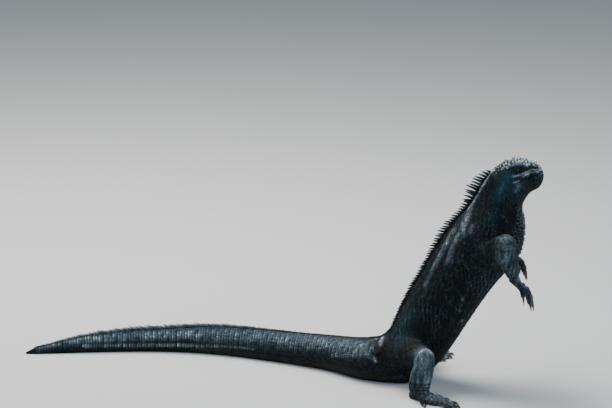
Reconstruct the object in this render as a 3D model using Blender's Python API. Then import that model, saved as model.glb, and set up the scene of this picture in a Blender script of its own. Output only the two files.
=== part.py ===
"""A life-size marine iguana, still, sitting up on its hind feet, vent and tail. Metres, +Z up, facing +X.

The body is one surface: a back line, a belly line and a half width at named sections, seen from the side.
It is cut into head, neck, chest, abdomen, pelvis and four lengths of tail. Limbs are tubes along bones.
"""

import math

import bmesh
import bpy
import numpy as np
from mathutils import Matrix, Vector

MM = 0.001  # the tables below are in millimetres
GAP = 0.3  # between nodes that touch
FLOOR = 0.0  # undersides are drawn a little below it, and it presses them flat
CENTRE = (184.0, 0.0)  # moves the middle of the animal's plan to the origin

# Sections from the snout to the tip of the tail, before the tail is bent sideways.
# name: back (x, z), belly (x, z), half width, height of the widest place, squareness of back and of belly
SECTIONS = {
    "snout": ((206.2, 327.6), (206.2, 327.2), 0.4, 0.50, 2.0, 2.0),
    "lips": ((203.7, 332.6), (205.2, 317.0), 8.8, 0.70, 2.2, 2.1),
    "nose": ((199.3, 336.8), (202.0, 309.9), 13.2, 0.68, 2.4, 2.2),
    "nostrils": ((193.5, 341.2), (197.5, 305.2), 16.2, 0.64, 2.6, 2.2),
    "muzzle": ((183.5, 343.4), (191.5, 302.0), 19.0, 0.605, 2.9, 2.2),
    "canthus": ((173.5, 344.4), (186.5, 298.6), 21.8, 0.57, 3.3, 2.2),
    "eyes": ((162.5, 344.2), (181.5, 291.5), 24.8, 0.565, 3.5, 2.2),
    "cheeks": ((150.5, 342.2), (177.3, 282.0), 27.8, 0.57, 3.0, 2.2),
    "jowls": ((139.0, 337.6), (176.8, 272.6), 29.5, 0.55, 2.6, 2.2),
    "occiput": ((128.9, 328.6), (178.6, 263.2), 30.0, 0.52, 2.4, 2.2),
    "nape": ((118.1, 310.9), (180.2, 252.5), 30.5, 0.50, 2.2, 2.1),
    "neck": ((107.6, 292.4), (181.4, 241.5), 32.5, 0.50, 2.2, 2.1),
    "withers": ((96.5, 275.8), (180.6, 229.1), 37.0, 0.50, 2.2, 2.1),
    "shoulders": ((81.9, 257.0), (177.0, 208.4), 42.5, 0.50, 2.2, 2.2),
    "chest": ((63.6, 231.5), (160.5, 183.0), 46.5, 0.49, 2.1, 2.2),
    "ribs": ((46.8, 202.5), (138.5, 155.0), 48.0, 0.48, 2.1, 2.2),
    "flank": ((31.8, 173.5), (119.0, 126.0), 49.5, 0.47, 2.1, 2.2),
    "waist": ((17.0, 146.0), (100.5, 96.0), 50.5, 0.46, 2.1, 2.3),
    "belly": ((4.2, 119.5), (83.0, 66.5), 50.5, 0.46, 2.1, 2.3),
    "loin": ((-6.2, 94.5), (64.5, 38.5), 47.5, 0.46, 2.1, 2.3),
    "hips": ((-14.6, 77.0), (42.5, 14.5), 43.5, 0.46, 2.2, 2.4),
    "pelvis": ((-26.5, 66.5), (17.5, 1.0), 36.5, 0.45, 2.2, 2.4),
    "vent": ((-42.0, 62.5), (-14.0, -2.6), 30.5, 0.44, 2.1, 2.3),
    "tail root": ((-63.0, 58.6), (-49.0, -3.0), 26.0, 0.44, 2.0, 2.2),
    "tail base": ((-96.0, 54.0), (-91.0, -2.8), 22.0, 0.43, 1.9, 2.1),
    "tail front": ((-158.0, 48.2), (-156.0, -2.5), 17.5, 0.42, 1.8, 2.0),
    "tail middle": ((-236.0, 45.0), (-235.0, -2.3), 14.0, 0.40, 1.7, 2.0),
    "tail blade": ((-312.0, 42.0), (-311.0, -2.1), 11.6, 0.38, 1.7, 1.9),
    "tail third": ((-388.0, 35.2), (-387.0, -1.9), 9.6, 0.38, 1.7, 1.9),
    "tail narrow": ((-462.0, 30.4), (-462.0, -1.7), 7.8, 0.38, 1.7, 1.9),
    "tail end": ((-522.0, 22.6), (-522.0, -1.4), 6.0, 0.40, 1.8, 1.9),
    "tail point": ((-566.0, 13.6), (-566.0, -1.0), 4.2, 0.42, 1.9, 1.9),
    "tail tip": ((-594.0, 7.2), (-594.0, -0.5), 2.6, 0.45, 2.0, 2.0),
    "end": ((-603.0, 2.6), (-603.0, 0.8), 0.5, 0.50, 2.0, 2.0),
}

# How far the tail has turned away from straight back, in degrees, at each distance behind x = 0.
TAIL_TURN = (
    (0, 0),
    (28, 9),
    (60, 33),
    (92, 39),
    (130, 27),
    (180, 22.5),
    (260, 18),
    (340, 6),
    (420, -6),
    (500, -11),
    (640, -12),
)

# Height of the crest's spines: section, millimetres behind it along the body, height.
CREST = (
    ("occiput", 0, 6.5),
    ("occiput", 6, 13.0),
    ("nape", -3, 18.0),
    ("nape", 7, 21.0),
    ("neck", 2, 17.5),
    ("withers", 0, 10.5),
    ("shoulders", 0, 9.5),
    ("shoulders", 14, 12.0),
    ("chest", 0, 12.0),
    ("ribs", 0, 9.0),
    ("flank", 0, 7.0),
    ("belly", 0, 5.5),
    ("hips", 0, 4.0),
    ("tail root", 0, 3.2),
    ("tail front", 0, 3.6),
    ("tail blade", 0, 3.8),
    ("tail blade", 44, 4.6),
    ("tail blade", 66, 8.5),
    ("tail narrow", 0, 8.5),
    ("tail end", 0, 6.6),
    ("tail tip", 0, 2.2),
)
# How far the spines lean towards the tail, in degrees, at the nape, the shoulders and the tail.
CREST_LEAN = (("occiput", 0), ("neck", 0), ("shoulders", 11), ("loin", 14), ("tail base", 26), ("end", 32))
CREST_ROOT = 2.4  # how deep a spine is sunk
SPINE_SIDES = 5

SCUTE_ROOT = 1.2  # how deep a plate or tubercle is sunk
# Raised plates of the jowls: millimetres behind the cheek's section, degrees below the line of the mouth.
JOWL_SCUTES = ((-2, 17), (3, 10), (4, 22), (8, 15), (9, 26), (13, 9), (14, 19), (18, 13))

# The right eye, on the line of the lids.
EYE = (165.0, -18.6, 336.6)
EYE_RADIUS = 5.1
LID_RADII = (6.2, 3.2)
LID_THICKNESS = 1.2
NOSTRIL = (192.6, -10.6, 340.2)
NOSTRIL_RADIUS = 1.9

# Bones of the right limbs: x, y, z, and half thickness along the body and across it.
THIGH = (
    (7, -10, 50, 30, 26),
    (14, -36, 54, 26.5, 23),
    (24, -62, 59, 20, 18),
    (33, -82, 60.5, 15, 13.5),
    (35.5, -91, 59.5, 12, 11.5),
)
SHANK = (
    (37, -91, 76.5, 8.5, 8.5),
    (36, -91.5, 66, 12.5, 12.0),
    (33.5, -93, 48, 15.0, 14.0),
    (30, -94, 30, 16.0, 13.5),
    (27.5, -94, 15, 15.5, 12.5),
    (27, -94, 6, 14.0, 11.5),
)
UPPER_ARM = (
    (116, -16, 196, 20, 20),
    (124, -36, 204, 19, 19),
    (135, -58, 219, 17.5, 17),
    (142.5, -75, 234.5, 17.5, 16.5),
    (145.5, -82, 242, 16, 15.5),
)
FOREARM = (
    (146.5, -81, 253.5, 12.5, 12.5),
    (147, -82, 242.5, 17, 16),
    (149.5, -83, 226, 16.5, 15),
    (155.5, -84, 208, 13.0, 11.5),
    (161, -84, 195, 10.0, 8.5),
    (164.5, -84, 187, 8.5, 7.5),
)

# Feet: the ankle or wrist, the way the foot points and slopes in degrees, and the size of the sole.
HIND_FOOT = {
    "at": (27.0, -94.0, 10.3),
    "turn": 40,
    "slope": 0,
    "length": 38.0,
    "half_width": 14.5,
    "thickness": 11.6,
}
FORE_FOOT = {
    "at": (165.5, -84.0, 186.0),
    "turn": 6,
    "slope": -38,
    "length": 20.0,
    "half_width": 12.5,
    "thickness": 8.0,
}
# Outline of a heel and sole: shares of its length and half width, top and bottom by its thickness.
SOLE = (
    (-0.36, 0.30, 0.10, -0.75),
    (-0.30, 0.52, 0.45, -0.97),
    (-0.12, 0.72, 0.72, -1.0),
    (0.12, 0.80, 0.62, -1.0),
    (0.40, 0.84, 0.25, -1.0),
    (0.72, 0.97, -0.02, -1.0),
    (0.95, 1.00, -0.16, -1.0),
    (1.08, 0.86, -0.36, -0.94),
)
# Toes: length without the claw, the way each points from the foot's own way in degrees (inwards is more),
# its place across the sole and the share of the sole's length where it starts.
HIND_TOES = (
    (17, 34, 0.82, 0.72),
    (27, 18, 0.5, 0.92),
    (36, 5, 0.08, 1.0),
    (43, -9, -0.36, 0.97),
    (26, -42, -0.8, 0.5),
)
FORE_TOES = (
    (14, 38, 0.8, 0.75),
    (22, 19, 0.45, 0.95),
    (26, 2, 0.0, 1.0),
    (24, -17, -0.45, 0.95),
    (16, -40, -0.8, 0.75),
)
LIMB_SIDES = 14
SOLE_SIDES = 12
TOE_RADIUS = 4.3
TOE_TIP_RADIUS = 3.0
CLAW_LENGTH = 10.0
CLAW_RADIUS = 2.3

COLOURS = {
    "skin": (0.035, 0.040, 0.045, 1.0),
    "limb skin": (0.075, 0.080, 0.082, 1.0),
    "eye": (0.020, 0.012, 0.008, 1.0),
    "claw": (0.018, 0.016, 0.015, 1.0),
}


def smooth(knots, values, at):
    """A cubic curve through the values. Its slope at each knot is the weighted mean of its neighbours'."""
    knots = np.asarray(knots, float)
    values = np.asarray(values, float).reshape(len(knots), -1)
    at = np.atleast_1d(np.asarray(at, float))
    step = np.diff(knots)[:, None]
    chord = np.diff(values, axis=0) / step
    middle = (chord[:-1] * step[1:] + chord[1:] * step[:-1]) / (step[:-1] + step[1:])
    slope = np.vstack([chord[:1], middle, chord[-1:]])
    i = np.clip(np.searchsorted(knots, at, side="right") - 1, 0, len(step) - 1)
    t = ((at - knots[i]) / step[i, 0])[:, None]
    h = step[i]
    return (
        values[i] * (1 + 2 * t) * (1 - t) ** 2
        + slope[i] * h * t * (1 - t) ** 2
        + values[i + 1] * t**2 * (3 - 2 * t)
        + slope[i + 1] * h * t**2 * (t - 1)
    )


def section_table():
    """The sections as rows of numbers, and how far each lies from the snout along the body."""
    rows = np.array([[*back, *belly, *rest] for back, belly, *rest in SECTIONS.values()])
    back = np.linalg.norm(np.diff(rows[:, 0:2], axis=0), axis=1)
    belly = np.linalg.norm(np.diff(rows[:, 2:4], axis=0), axis=1)
    return rows, np.concatenate([[0], np.cumsum((back + belly) / 2)])


TABLE, STATIONS = section_table()
PLACE = dict(zip(SECTIONS, STATIONS))
SPINE_LINE = np.array([math.pi / 2])  # the angle of the middle of the back


def straight_body(u, v):
    """Points of the straight body at distances u from the snout and angles v round it from the left."""
    s = smooth(STATIONS, TABLE, u)
    back, belly, width, share = s[:, 0:2], s[:, 2:4], s[:, 4], s[:, 5]
    square_back, square_belly = s[:, 6], s[:, 7]
    c, w = np.cos(v), np.sin(v)
    n = np.where(w[None] >= 0, square_back[:, None], square_belly[:, None])
    reach = (np.abs(c[None]) ** n + np.abs(w[None]) ** n) ** (-1 / n)
    up = back - belly
    middle = belly + share[:, None] * up
    height = np.where(w[None] >= 0, 1 - share[:, None], share[:, None]) * reach * w[None]
    x = middle[:, None, 0] + up[:, None, 0] * height
    z = middle[:, None, 1] + up[:, None, 1] * height
    y = width[:, None] * reach * c[None]
    return np.stack([x, y, z], axis=-1)


def normals_of(surface, u, v, step_u=0.4, step_v=0.02):
    """Unit normals that point out of a surface of two parameters, from the difference of near points."""
    along = surface(u + step_u, v) - surface(u - step_u, v)
    round_it = surface(u, v + step_v) - surface(u, v - step_v)
    n = np.cross(along, round_it)
    return n / np.maximum(np.linalg.norm(n, axis=-1, keepdims=True), 1e-9)


def ridge(p, start, end, radius):
    """1 on the line from start to end, falling to 0 about one radius away from it."""
    start, end = np.array(start, float), np.array(end, float)
    way = end - start
    t = np.clip(((p - start) @ way) / (way @ way), 0, 1)
    off = np.linalg.norm(p - start - t[..., None] * way, axis=-1)
    return np.exp(-((off / radius) ** 2) * 1.6)


def head_forms(p):
    """How far the head's skin stands out from its plain sections, in millimetres. Both sides are alike."""
    q = np.stack([p[..., 0], -np.abs(p[..., 1]), p[..., 2]], axis=-1)
    out = 3.4 * ridge(q, (175, -18.5, 344.5), (153, -22.5, 342.5), 4.4)  # brow
    out -= 2.0 * ridge(q, (169, -24, 336.5), (161.5, -25, 336.0), 4.6)  # hollow of the eye
    out += 1.4 * ridge(q, (172, -22, 329.5), (158, -27, 327.0), 2.6)  # fold under the eye
    out += 1.3 * ridge(q, (197, -13, 332.0), (168, -24, 327.0), 2.6)  # upper lip
    out += 1.2 * ridge(q, (198, -12, 320.5), (164, -26, 313.0), 3.2)  # lower lip
    out += 1.8 * ridge(q, (191.5, -9.5, 340.0), (190.5, -9.5, 340.5), 5.0)  # swelling of the nostril
    out += 2.6 * ridge(q, (150, -29, 303), (143, -31, 296), 13.0)  # muscle of the jaw
    out += 1.2 * ridge(q, (146.5, -28, 315), (145.5, -29, 306), 3.0)  # front edge of the ear
    out -= 1.5 * ridge(q, (140.5, -29, 312), (139.5, -29, 310), 4.2)  # ear drum
    return out


def mouth_groove(u, v):
    """Depth of the line of the mouth: it runs at the flank's own height from the snout to the cheeks."""
    corner = PLACE["cheeks"] - 2.0
    along = np.clip((corner - u) / 6.0, 0, 1)
    return 1.5 * along[:, None] * np.exp(-((np.sin(v) / 0.05) ** 2))[None]


def body_surface(u, v, inflate=0.0):
    """The straight body with the head's forms, moved out by inflate."""
    p = straight_body(u, v)
    n = normals_of(straight_body, u, v)
    near_tip = np.clip((u - 1.0) / 6.0, 0, 1)[:, None]
    out = head_forms(p) * near_tip - mouth_groove(u, v) + inflate
    return p + n * out[..., None]


def tail_path():
    """The plan of the spine behind x = 0: distance, x, y and heading, by adding up short straight steps."""
    s = np.linspace(0, 640, 641)
    turn = np.radians(smooth(*np.array(TAIL_TURN, float).T, s)[:, 0])
    x = -np.concatenate([[0], np.cumsum((np.cos(turn[1:]) + np.cos(turn[:-1])) / 2)])
    y = np.concatenate([[0], np.cumsum((np.sin(turn[1:]) + np.sin(turn[:-1])) / 2)])
    return s, x, y, turn


PATH = tail_path()


def place(p):
    """Bends straight points sideways along the tail's path, presses them on the floor and centres them."""
    p = np.array(p, float)
    s, path_x, path_y, path_turn = PATH
    back = np.maximum(-p[..., 0], 0)
    turn = np.interp(back, s, path_turn)
    x = np.interp(back, s, path_x) + np.sin(turn) * p[..., 1] + np.maximum(p[..., 0], 0)
    y = np.interp(back, s, path_y) + np.cos(turn) * p[..., 1]
    z = np.maximum(p[..., 2], FLOOR)
    return np.stack([x + CENTRE[0], y + CENTRE[1], z], axis=-1)


def material(name):
    """The material of one of the colours, made at its first use."""
    found = bpy.data.materials.get(name)
    if found:
        return found
    made = bpy.data.materials.new(name)
    made.use_nodes = True
    shader = made.node_tree.nodes["Principled BSDF"]
    shader.inputs["Base Color"].default_value = COLOURS[name]
    shader.inputs["Roughness"].default_value = 0.3 if name == "eye" else 0.7
    shader.inputs["Metallic"].default_value = 0.0
    return made


def collection(name):
    """A new collection of the scene."""
    made = bpy.data.collections.new(name)
    bpy.context.scene.collection.children.link(made)
    return made


def mesh_object(name, points, faces, into, surface="skin"):
    """A mesh object from points in millimetres, with its faces turned outwards."""
    mesh = bpy.data.meshes.new(name)
    mesh.from_pydata((np.asarray(points) * MM).tolist(), [], faces)
    work = bmesh.new()
    work.from_mesh(mesh)
    bmesh.ops.remove_doubles(work, verts=work.verts, dist=1e-6)
    bmesh.ops.recalc_face_normals(work, faces=work.faces)
    work.to_mesh(mesh)
    work.free()
    mesh.materials.append(material(surface))
    made = bpy.data.objects.new(name, mesh)
    into.objects.link(made)
    return made


def closed_loft(rings):
    """Points and faces of a solid whose sides join each ring to the next, with a flat fan at both ends."""
    count, around, _ = rings.shape
    points = np.concatenate([rings.reshape(-1, 3), rings[0].mean(0)[None], rings[-1].mean(0)[None]])
    faces = []
    for i in range(count - 1):
        for j in range(around):
            k = (j + 1) % around
            faces.append((i * around + j, i * around + k, (i + 1) * around + k, (i + 1) * around + j))
    for j in range(around):
        k = (j + 1) % around
        faces.append((j, count * around, k))
        faces.append(((count - 1) * around + j, (count - 1) * around + k, count * around + 1))
    return points, faces


def angles(upper, lower):
    """Angles all round from those of a quarter above the flank and of a quarter below it, in degrees."""
    above = [*upper, 90, *(180 - a for a in reversed(upper))]
    below = [*(180 + a for a in lower), 270, *(360 - a for a in reversed(lower))]
    return np.radians(above + below)


def body_piece(name, start, end, rings, v, into, inflate=0.0):
    """One length of the body between two distances from the snout, with half a gap left at each cut."""
    u = np.linspace(start, end, rings)
    return mesh_object(name, *closed_loft(place(body_surface(u, v, inflate))), into)


def cone(name, foot, way, along, height, half_length, half_width, into, root=CREST_ROOT):
    """A spine or tubercle: a cone of few sides, longer one way, that stands with its root sunk."""
    way = Vector(way).normalized()
    side = way.cross(Vector(along)).normalized()
    stretch = Matrix((side.cross(way) * half_length, side * half_width, way * (height + root)))
    stand = stretch.transposed().to_4x4()
    stand.translation = Vector(foot) + way * ((height - root) / 2)
    work = bmesh.new()
    bmesh.ops.create_cone(work, cap_ends=True, segments=SPINE_SIDES, radius1=1.0, radius2=0.0, depth=1.0)
    bmesh.ops.transform(work, matrix=Matrix.Scale(MM, 4) @ stand, verts=work.verts)
    mesh = bpy.data.meshes.new(name)
    work.to_mesh(mesh)
    work.free()
    mesh.materials.append(material("skin"))
    made = bpy.data.objects.new(name, mesh)
    into.objects.link(made)
    return made


def crest_spines(start, end, spacing, into):
    """The spines of the crest that stand on the back between two distances from the snout."""
    fine = np.linspace(start, end, 200)
    back = place(body_surface(fine, SPINE_LINE))[:, 0]
    run = np.concatenate([[0], np.cumsum(np.linalg.norm(np.diff(back, axis=0), axis=1))])
    count = int(run[-1] / spacing)
    where = np.interp((np.arange(count) + 0.5) * run[-1] / count, run, fine)
    knots = [PLACE[name] + behind for name, behind, _ in CREST]
    heights = smooth(knots, [height for _, _, height in CREST], where)[:, 0]
    lean_places = [PLACE[name] for name, _ in CREST_LEAN]
    leans = np.radians(np.interp(where, lean_places, [lean for _, lean in CREST_LEAN]))
    for i, (u, height, lean) in enumerate(zip(where, heights, leans)):
        near = place(body_surface(np.array([u - 0.5, u, u + 0.5]), SPINE_LINE))[:, 0]
        flanks = place(body_surface(np.array([u]), np.array([0.0, math.pi])))[0]
        across = Vector(flanks[0] - flanks[1]).normalized()
        tailward = Vector(near[2] - near[0]).normalized()
        out = across.cross(tailward).normalized()
        varied = height * (1 + 0.08 * math.sin(2.4 * i) + 0.05 * math.sin(5.1 * i))
        way = out * math.cos(lean) + tailward * math.sin(lean)
        half_length = min(spacing * 0.46, 1.2 + height * 0.15)
        half_width = min(1.7, 0.8 + 0.05 * height)
        cone(f"spine {i}", near[1], way, tailward, varied, half_length, half_width, into)


def union(base, pieces):
    """Joins a collection's pieces to base with one Boolean, applied, and clears the collection away."""
    join = base.modifiers.new("join", "BOOLEAN")
    join.operation = "UNION"
    join.operand_type = "COLLECTION"
    join.collection = pieces
    join.solver = "MANIFOLD"
    apply_modifiers(base)
    for piece in list(pieces.objects):
        bpy.data.objects.remove(piece)
    bpy.data.collections.remove(pieces)
    keep_largest(base)


def cut(base, cutter, remove=True):
    """Takes the cutter's space out of base and keeps the largest piece that is left."""
    away = base.modifiers.new("cut", "BOOLEAN")
    away.operation = "DIFFERENCE"
    away.object = cutter
    away.solver = "MANIFOLD"
    apply_modifiers(base)
    if remove:
        bpy.data.objects.remove(cutter)
    keep_largest(base)


def apply_modifiers(base):
    """Puts the modifiers' result into the object's mesh."""
    graph = bpy.context.evaluated_depsgraph_get()
    graph.update()
    made = bpy.data.meshes.new_from_object(base.evaluated_get(graph))
    base.modifiers.clear()
    base.data = made


def six_volumes(shell):
    """Six times the volume inside a closed surface, as the sum over its triangles."""
    total = 0.0
    for face in shell:
        first = face.verts[0].co
        for i in range(1, len(face.verts) - 1):
            total += first.dot(face.verts[i].co.cross(face.verts[i + 1].co))
    return total


def keep_largest(base):
    """Leaves only the closed surface of base with the largest volume."""
    work = bmesh.new()
    work.from_mesh(base.data)
    seen, shells = set(), []
    for face in work.faces:
        if face.index in seen:
            continue
        shell, todo = [], [face]
        seen.add(face.index)
        while todo:
            one = todo.pop()
            shell.append(one)
            for edge in one.edges:
                for other in edge.link_faces:
                    if other.index not in seen:
                        seen.add(other.index)
                        todo.append(other)
        shells.append(shell)
    largest = max(shells, key=six_volumes)
    extra = [face for shell in shells if shell is not largest for face in shell]
    bmesh.ops.delete(work, geom=extra, context="FACES")
    work.to_mesh(base.data)
    work.free()


HEAD_ROUND = angles((0, 6, 14, 25, 37, 49, 61, 75), (6, 15, 28, 45, 68))
BODY_ROUND = angles((0, 15, 30, 45, 60, 75), (15, 30, 45, 60, 75))
TAIL_ROUND = angles((0, 22, 45, 67), (22, 45, 67))
# Lengths of the body behind the head: name, first and last section, rings, angles, spacing of the crest.
BODY_PARTS = (
    ("neck", "occiput", "withers", 9, BODY_ROUND, 5.2),
    ("chest", "withers", "flank", 13, BODY_ROUND, 5.0),
    ("abdomen", "flank", "loin", 10, BODY_ROUND, 5.4),
    ("pelvis", "loin", "tail root", 11, BODY_ROUND, 5.8),
    ("tail_root", "tail root", "tail front", 9, TAIL_ROUND, 7.0),
    ("tail_front", "tail front", "tail blade", 11, TAIL_ROUND, 8.0),
    ("tail_middle", "tail blade", "tail narrow", 11, TAIL_ROUND, 8.0),
    ("tail_tip", "tail narrow", "end", 13, TAIL_ROUND, 8.0),
)


def stand_on_skin(name, u, v, height, radius, into):
    """One low cone on the body at a distance from the snout and an angle round it."""
    at = np.array([u]), np.array([v])
    foot = place(body_surface(*at))[0, 0]
    way = normals_of(straight_body, *at)[0, 0]
    cone(name, foot, way, (0.3, 0, 1), height, radius, radius, into, SCUTE_ROOT)


def crown_tubercles(into):
    """Cones on top of the head, largest between the eyes, in rows that are set off from one another."""
    draw = np.random.default_rng(7)
    rows = np.linspace(PLACE["nostrils"] - 1, PLACE["occiput"] - 6, 11)
    for i, u in enumerate(rows):
        share = (u - rows[0]) / (rows[-1] - rows[0])
        half = math.radians(34 + 16 * math.sin(math.pi * share))
        count = 4 if i % 2 else 5
        for j in range(count):
            v = math.pi / 2 + half * (2 * (j + 0.5) / count - 1) + draw.normal(0, 0.02)
            size = (2.6 + 2.6 * math.sin(math.pi * share) ** 1.5) * draw.uniform(0.85, 1.15)
            stand_on_skin(f"tubercle {i} {j}", u + draw.normal(0, 0.4), v, size, size * 0.71, into)


def jowl_scutes(into):
    """Blunt raised plates below the corner of the mouth and the ear, alike on both sides."""
    for i, (behind, down) in enumerate(JOWL_SCUTES):
        for v in (math.pi + math.radians(down), -math.radians(down)):
            stand_on_skin(f"scute {i} {v:.1f}", PLACE["cheeks"] + behind, v, 1.5, 3.1, into)


def sphere(name, centre, radius, into, surface="skin", segments=12, rings=8):
    """A ball whose place is in its mesh."""
    mesh = bpy.data.meshes.new(name)
    work = bmesh.new()
    bmesh.ops.create_uvsphere(work, u_segments=segments, v_segments=rings, radius=radius * MM)
    bmesh.ops.translate(work, verts=work.verts, vec=Vector(centre) * MM)
    work.to_mesh(mesh)
    work.free()
    mesh.materials.append(material(surface))
    made = bpy.data.objects.new(name, mesh)
    into.objects.link(made)
    return made


def lids(side, into):
    """The two lids of one eye as a ring that follows the eyeball, longer than it is high."""
    centre = Vector(place(np.array([EYE[0], side * EYE[1], EYE[2]])))
    outward = Vector((0.10, -side, 0.16)).normalized()
    along = Vector((0.96, 0, 0.27))
    along = (along - outward * along.dot(outward)).normalized()
    up = outward.cross(along) * (1 if side > 0 else -1)
    up = up if up.z > 0 else -up
    rings = []
    for i in range(12):
        a = 2 * math.pi * i / 12
        flat = along * (LID_RADII[0] * math.cos(a)) + up * (LID_RADII[1] * math.sin(a))
        lift = math.sqrt(max((EYE_RADIUS + 0.3) ** 2 - flat.length_squared * 0.72, 1.0))
        middle = centre + flat + outward * lift
        way = flat.normalized()
        ring = []
        for j in range(5):
            b = 2 * math.pi * j / 5
            roll = way * (1.2 * math.cos(b)) + outward * math.sin(b)
            ring.append(middle + roll * LID_THICKNESS)
        rings.append(ring)
    points = [p for ring in rings for p in ring]
    faces = []
    for i in range(12):
        for j in range(5):
            k, m = (i + 1) % 12, (j + 1) % 5
            faces.append((i * 5 + j, i * 5 + m, k * 5 + m, k * 5 + j))
    return mesh_object(f"lids {side}", points, faces, into)


def build_head(into, helpers):
    """The head with its crown, jowls and lids, cut open for the nostrils and for two eyeballs."""
    head = body_piece("head", 0.0, PLACE["occiput"] - GAP / 2, 36, HEAD_ROUND, into)
    extra = collection("head pieces")
    crown_tubercles(extra)
    jowl_scutes(extra)
    for side in (1, -1):
        lids(side, extra)
    union(head, extra)
    for side, word in ((1, "right"), (-1, "left")):
        centre = place(np.array([EYE[0], side * EYE[1], EYE[2]]))
        cut(head, sphere("socket", centre, EYE_RADIUS + GAP, helpers))
        opening = place(np.array([NOSTRIL[0], side * NOSTRIL[1], NOSTRIL[2]]))
        cut(head, sphere("nostril", opening, NOSTRIL_RADIUS, helpers, segments=8, rings=6))
        sphere(f"eye_{word}", centre, EYE_RADIUS, into, "eye")


def trunk_cutter(into):
    """The chest and the abdomen as one solid that stands a gap outside them, for the roots of the limbs."""
    where = []
    for name, start, end, rings, _, _ in BODY_PARTS[1:4]:
        where.append(np.linspace(PLACE[start] + GAP / 2, PLACE[end] - GAP / 2, rings))
    around = place(body_surface(np.concatenate(where), BODY_ROUND, GAP))
    around[..., 2] = np.where(around[..., 2] <= 0, -5, around[..., 2])
    made = mesh_object("trunk", *closed_loft(around), into)
    made.display_type = "WIRE"
    return made


def build_trunk(into):
    """Neck, chest, abdomen and the lengths of the tail, each with its part of the crest."""
    for name, start, end, rings, v, spacing in BODY_PARTS:
        first = PLACE[start] + GAP / 2
        last = PLACE[end] - (GAP / 2 if end != "end" else 0)
        piece = body_piece(name, first, last, rings, v, into)
        spines = collection(f"{name} spines")
        crest_last = last - (14 if end == "end" else 0)
        crest_spines(first + 0.8, crest_last, spacing, spines)
        union(piece, spines)


def tube(stations, side, spacing, inflate=0.0):
    """Rings of a limb: ellipses square to a curve through its stations, with a dome at both ends."""
    table = np.array(stations, float)
    table[:, 1] *= side
    steps = np.linalg.norm(np.diff(table[:, :3], axis=0), axis=1)
    knots = np.concatenate([[0], np.cumsum(steps)])
    total = knots[-1]
    domes = [np.mean(table[end, 3:5]) * 0.9 for end in (0, -1)]
    arc = np.radians([12, 36, 60, 90])
    first = domes[0] * (1 - np.cos(arc))
    last = total - domes[1] * (1 - np.cos(arc[::-1]))
    count = max(int(round((last[0] - first[-1]) / spacing)), 2)
    t = np.concatenate([first, np.linspace(first[-1], last[0], count + 1)[1:-1], last])
    here = smooth(knots, table, t)
    ahead = smooth(knots, table, np.minimum(t + 0.5, total)) - smooth(knots, table, np.maximum(t - 0.5, 0))
    ahead = ahead[:, :3] / np.linalg.norm(ahead[:, :3], axis=1, keepdims=True)
    along = np.array([1.0, 0, 0]) - ahead * ahead[:, :1]
    along /= np.linalg.norm(along, axis=1, keepdims=True)
    across = np.cross(ahead, along)
    share = np.sqrt(1 - np.clip(1 - t / domes[0], 0, 0.995) ** 2)
    share *= np.sqrt(1 - np.clip(1 - (total - t) / domes[1], 0, 0.995) ** 2)
    a = np.linspace(0, 2 * np.pi, LIMB_SIDES, endpoint=False)[:, None]
    half = here[:, 3:5] * share[:, None] + inflate
    ring = np.cos(a) * along[:, None] * half[:, None, 0:1]
    ring = ring + np.sin(a) * across[:, None] * half[:, None, 1:2]
    rings = here[:, None, :3] + ring
    rings[0] -= ahead[0] * inflate
    rings[-1] += ahead[-1] * inflate
    return rings


def foot_frame(foot, side):
    """Where a foot starts, its way forward, its way across to the animal's middle, and its way up."""
    turn, slope = math.radians(foot["turn"]) * -side, math.radians(foot["slope"])
    forward = Vector((math.cos(turn) * math.cos(slope), math.sin(turn) * math.cos(slope), math.sin(slope)))
    inward = Vector((-math.sin(turn), math.cos(turn), 0)) * side
    up = Vector((-math.cos(turn) * math.sin(slope), -math.sin(turn) * math.sin(slope), math.cos(slope)))
    start = Vector((foot["at"][0], foot["at"][1] * side, foot["at"][2]))
    return start, forward, inward, up


def sole_rings(foot, side, inflate=0.0):
    """Rings of the heel and the sole, from behind the ankle to the roots of the toes, flat underneath."""
    start, forward, inward, up = foot_frame(foot, side)
    rings = []
    for share, width, top, bottom in SOLE:
        middle = start + forward * (foot["length"] * share) + up * (foot["thickness"] * (top + bottom) / 2)
        half = foot["thickness"] * (top - bottom) / 2 + inflate
        ring = []
        for j in range(SOLE_SIDES):
            a = 2 * math.pi * j / SOLE_SIDES
            c, w = math.cos(a), math.sin(a)
            reach = (abs(c) ** 2.4 + abs(w) ** 2.4) ** (-1 / 2.4)
            flat = inward * ((foot["half_width"] * width + inflate) * c * reach)
            ring.append(middle + flat + up * (half * w * reach))
        rings.append(ring)
    return np.array(rings)


def toe_path(foot, toe, side, on_floor):
    """Centres of one toe from its root in the sole to its end."""
    length, spread, across, share = toe
    start, forward, inward, up = foot_frame(foot, side)
    way = forward * math.cos(math.radians(spread)) + inward * math.sin(math.radians(spread))
    root = start + forward * (foot["length"] * (share - 0.16)) - up * (foot["thickness"] * 0.52)
    root = root + inward * (foot["half_width"] * across * 0.80)
    points = []
    for t in (0.0, 0.25, 0.5, 0.75, 1.0):
        arch = 0.08 * length * math.sin(math.pi * min(t * 1.2, 1.0))
        drop = 0.0 if on_floor else 0.34 * length * t**2
        point = root + way * (length * t) + up * (arch - drop)
        if on_floor:
            point.z = (1 - t) * root.z + t * (TOE_TIP_RADIUS * 0.75) + arch
        points.append(point)
    return points


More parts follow.
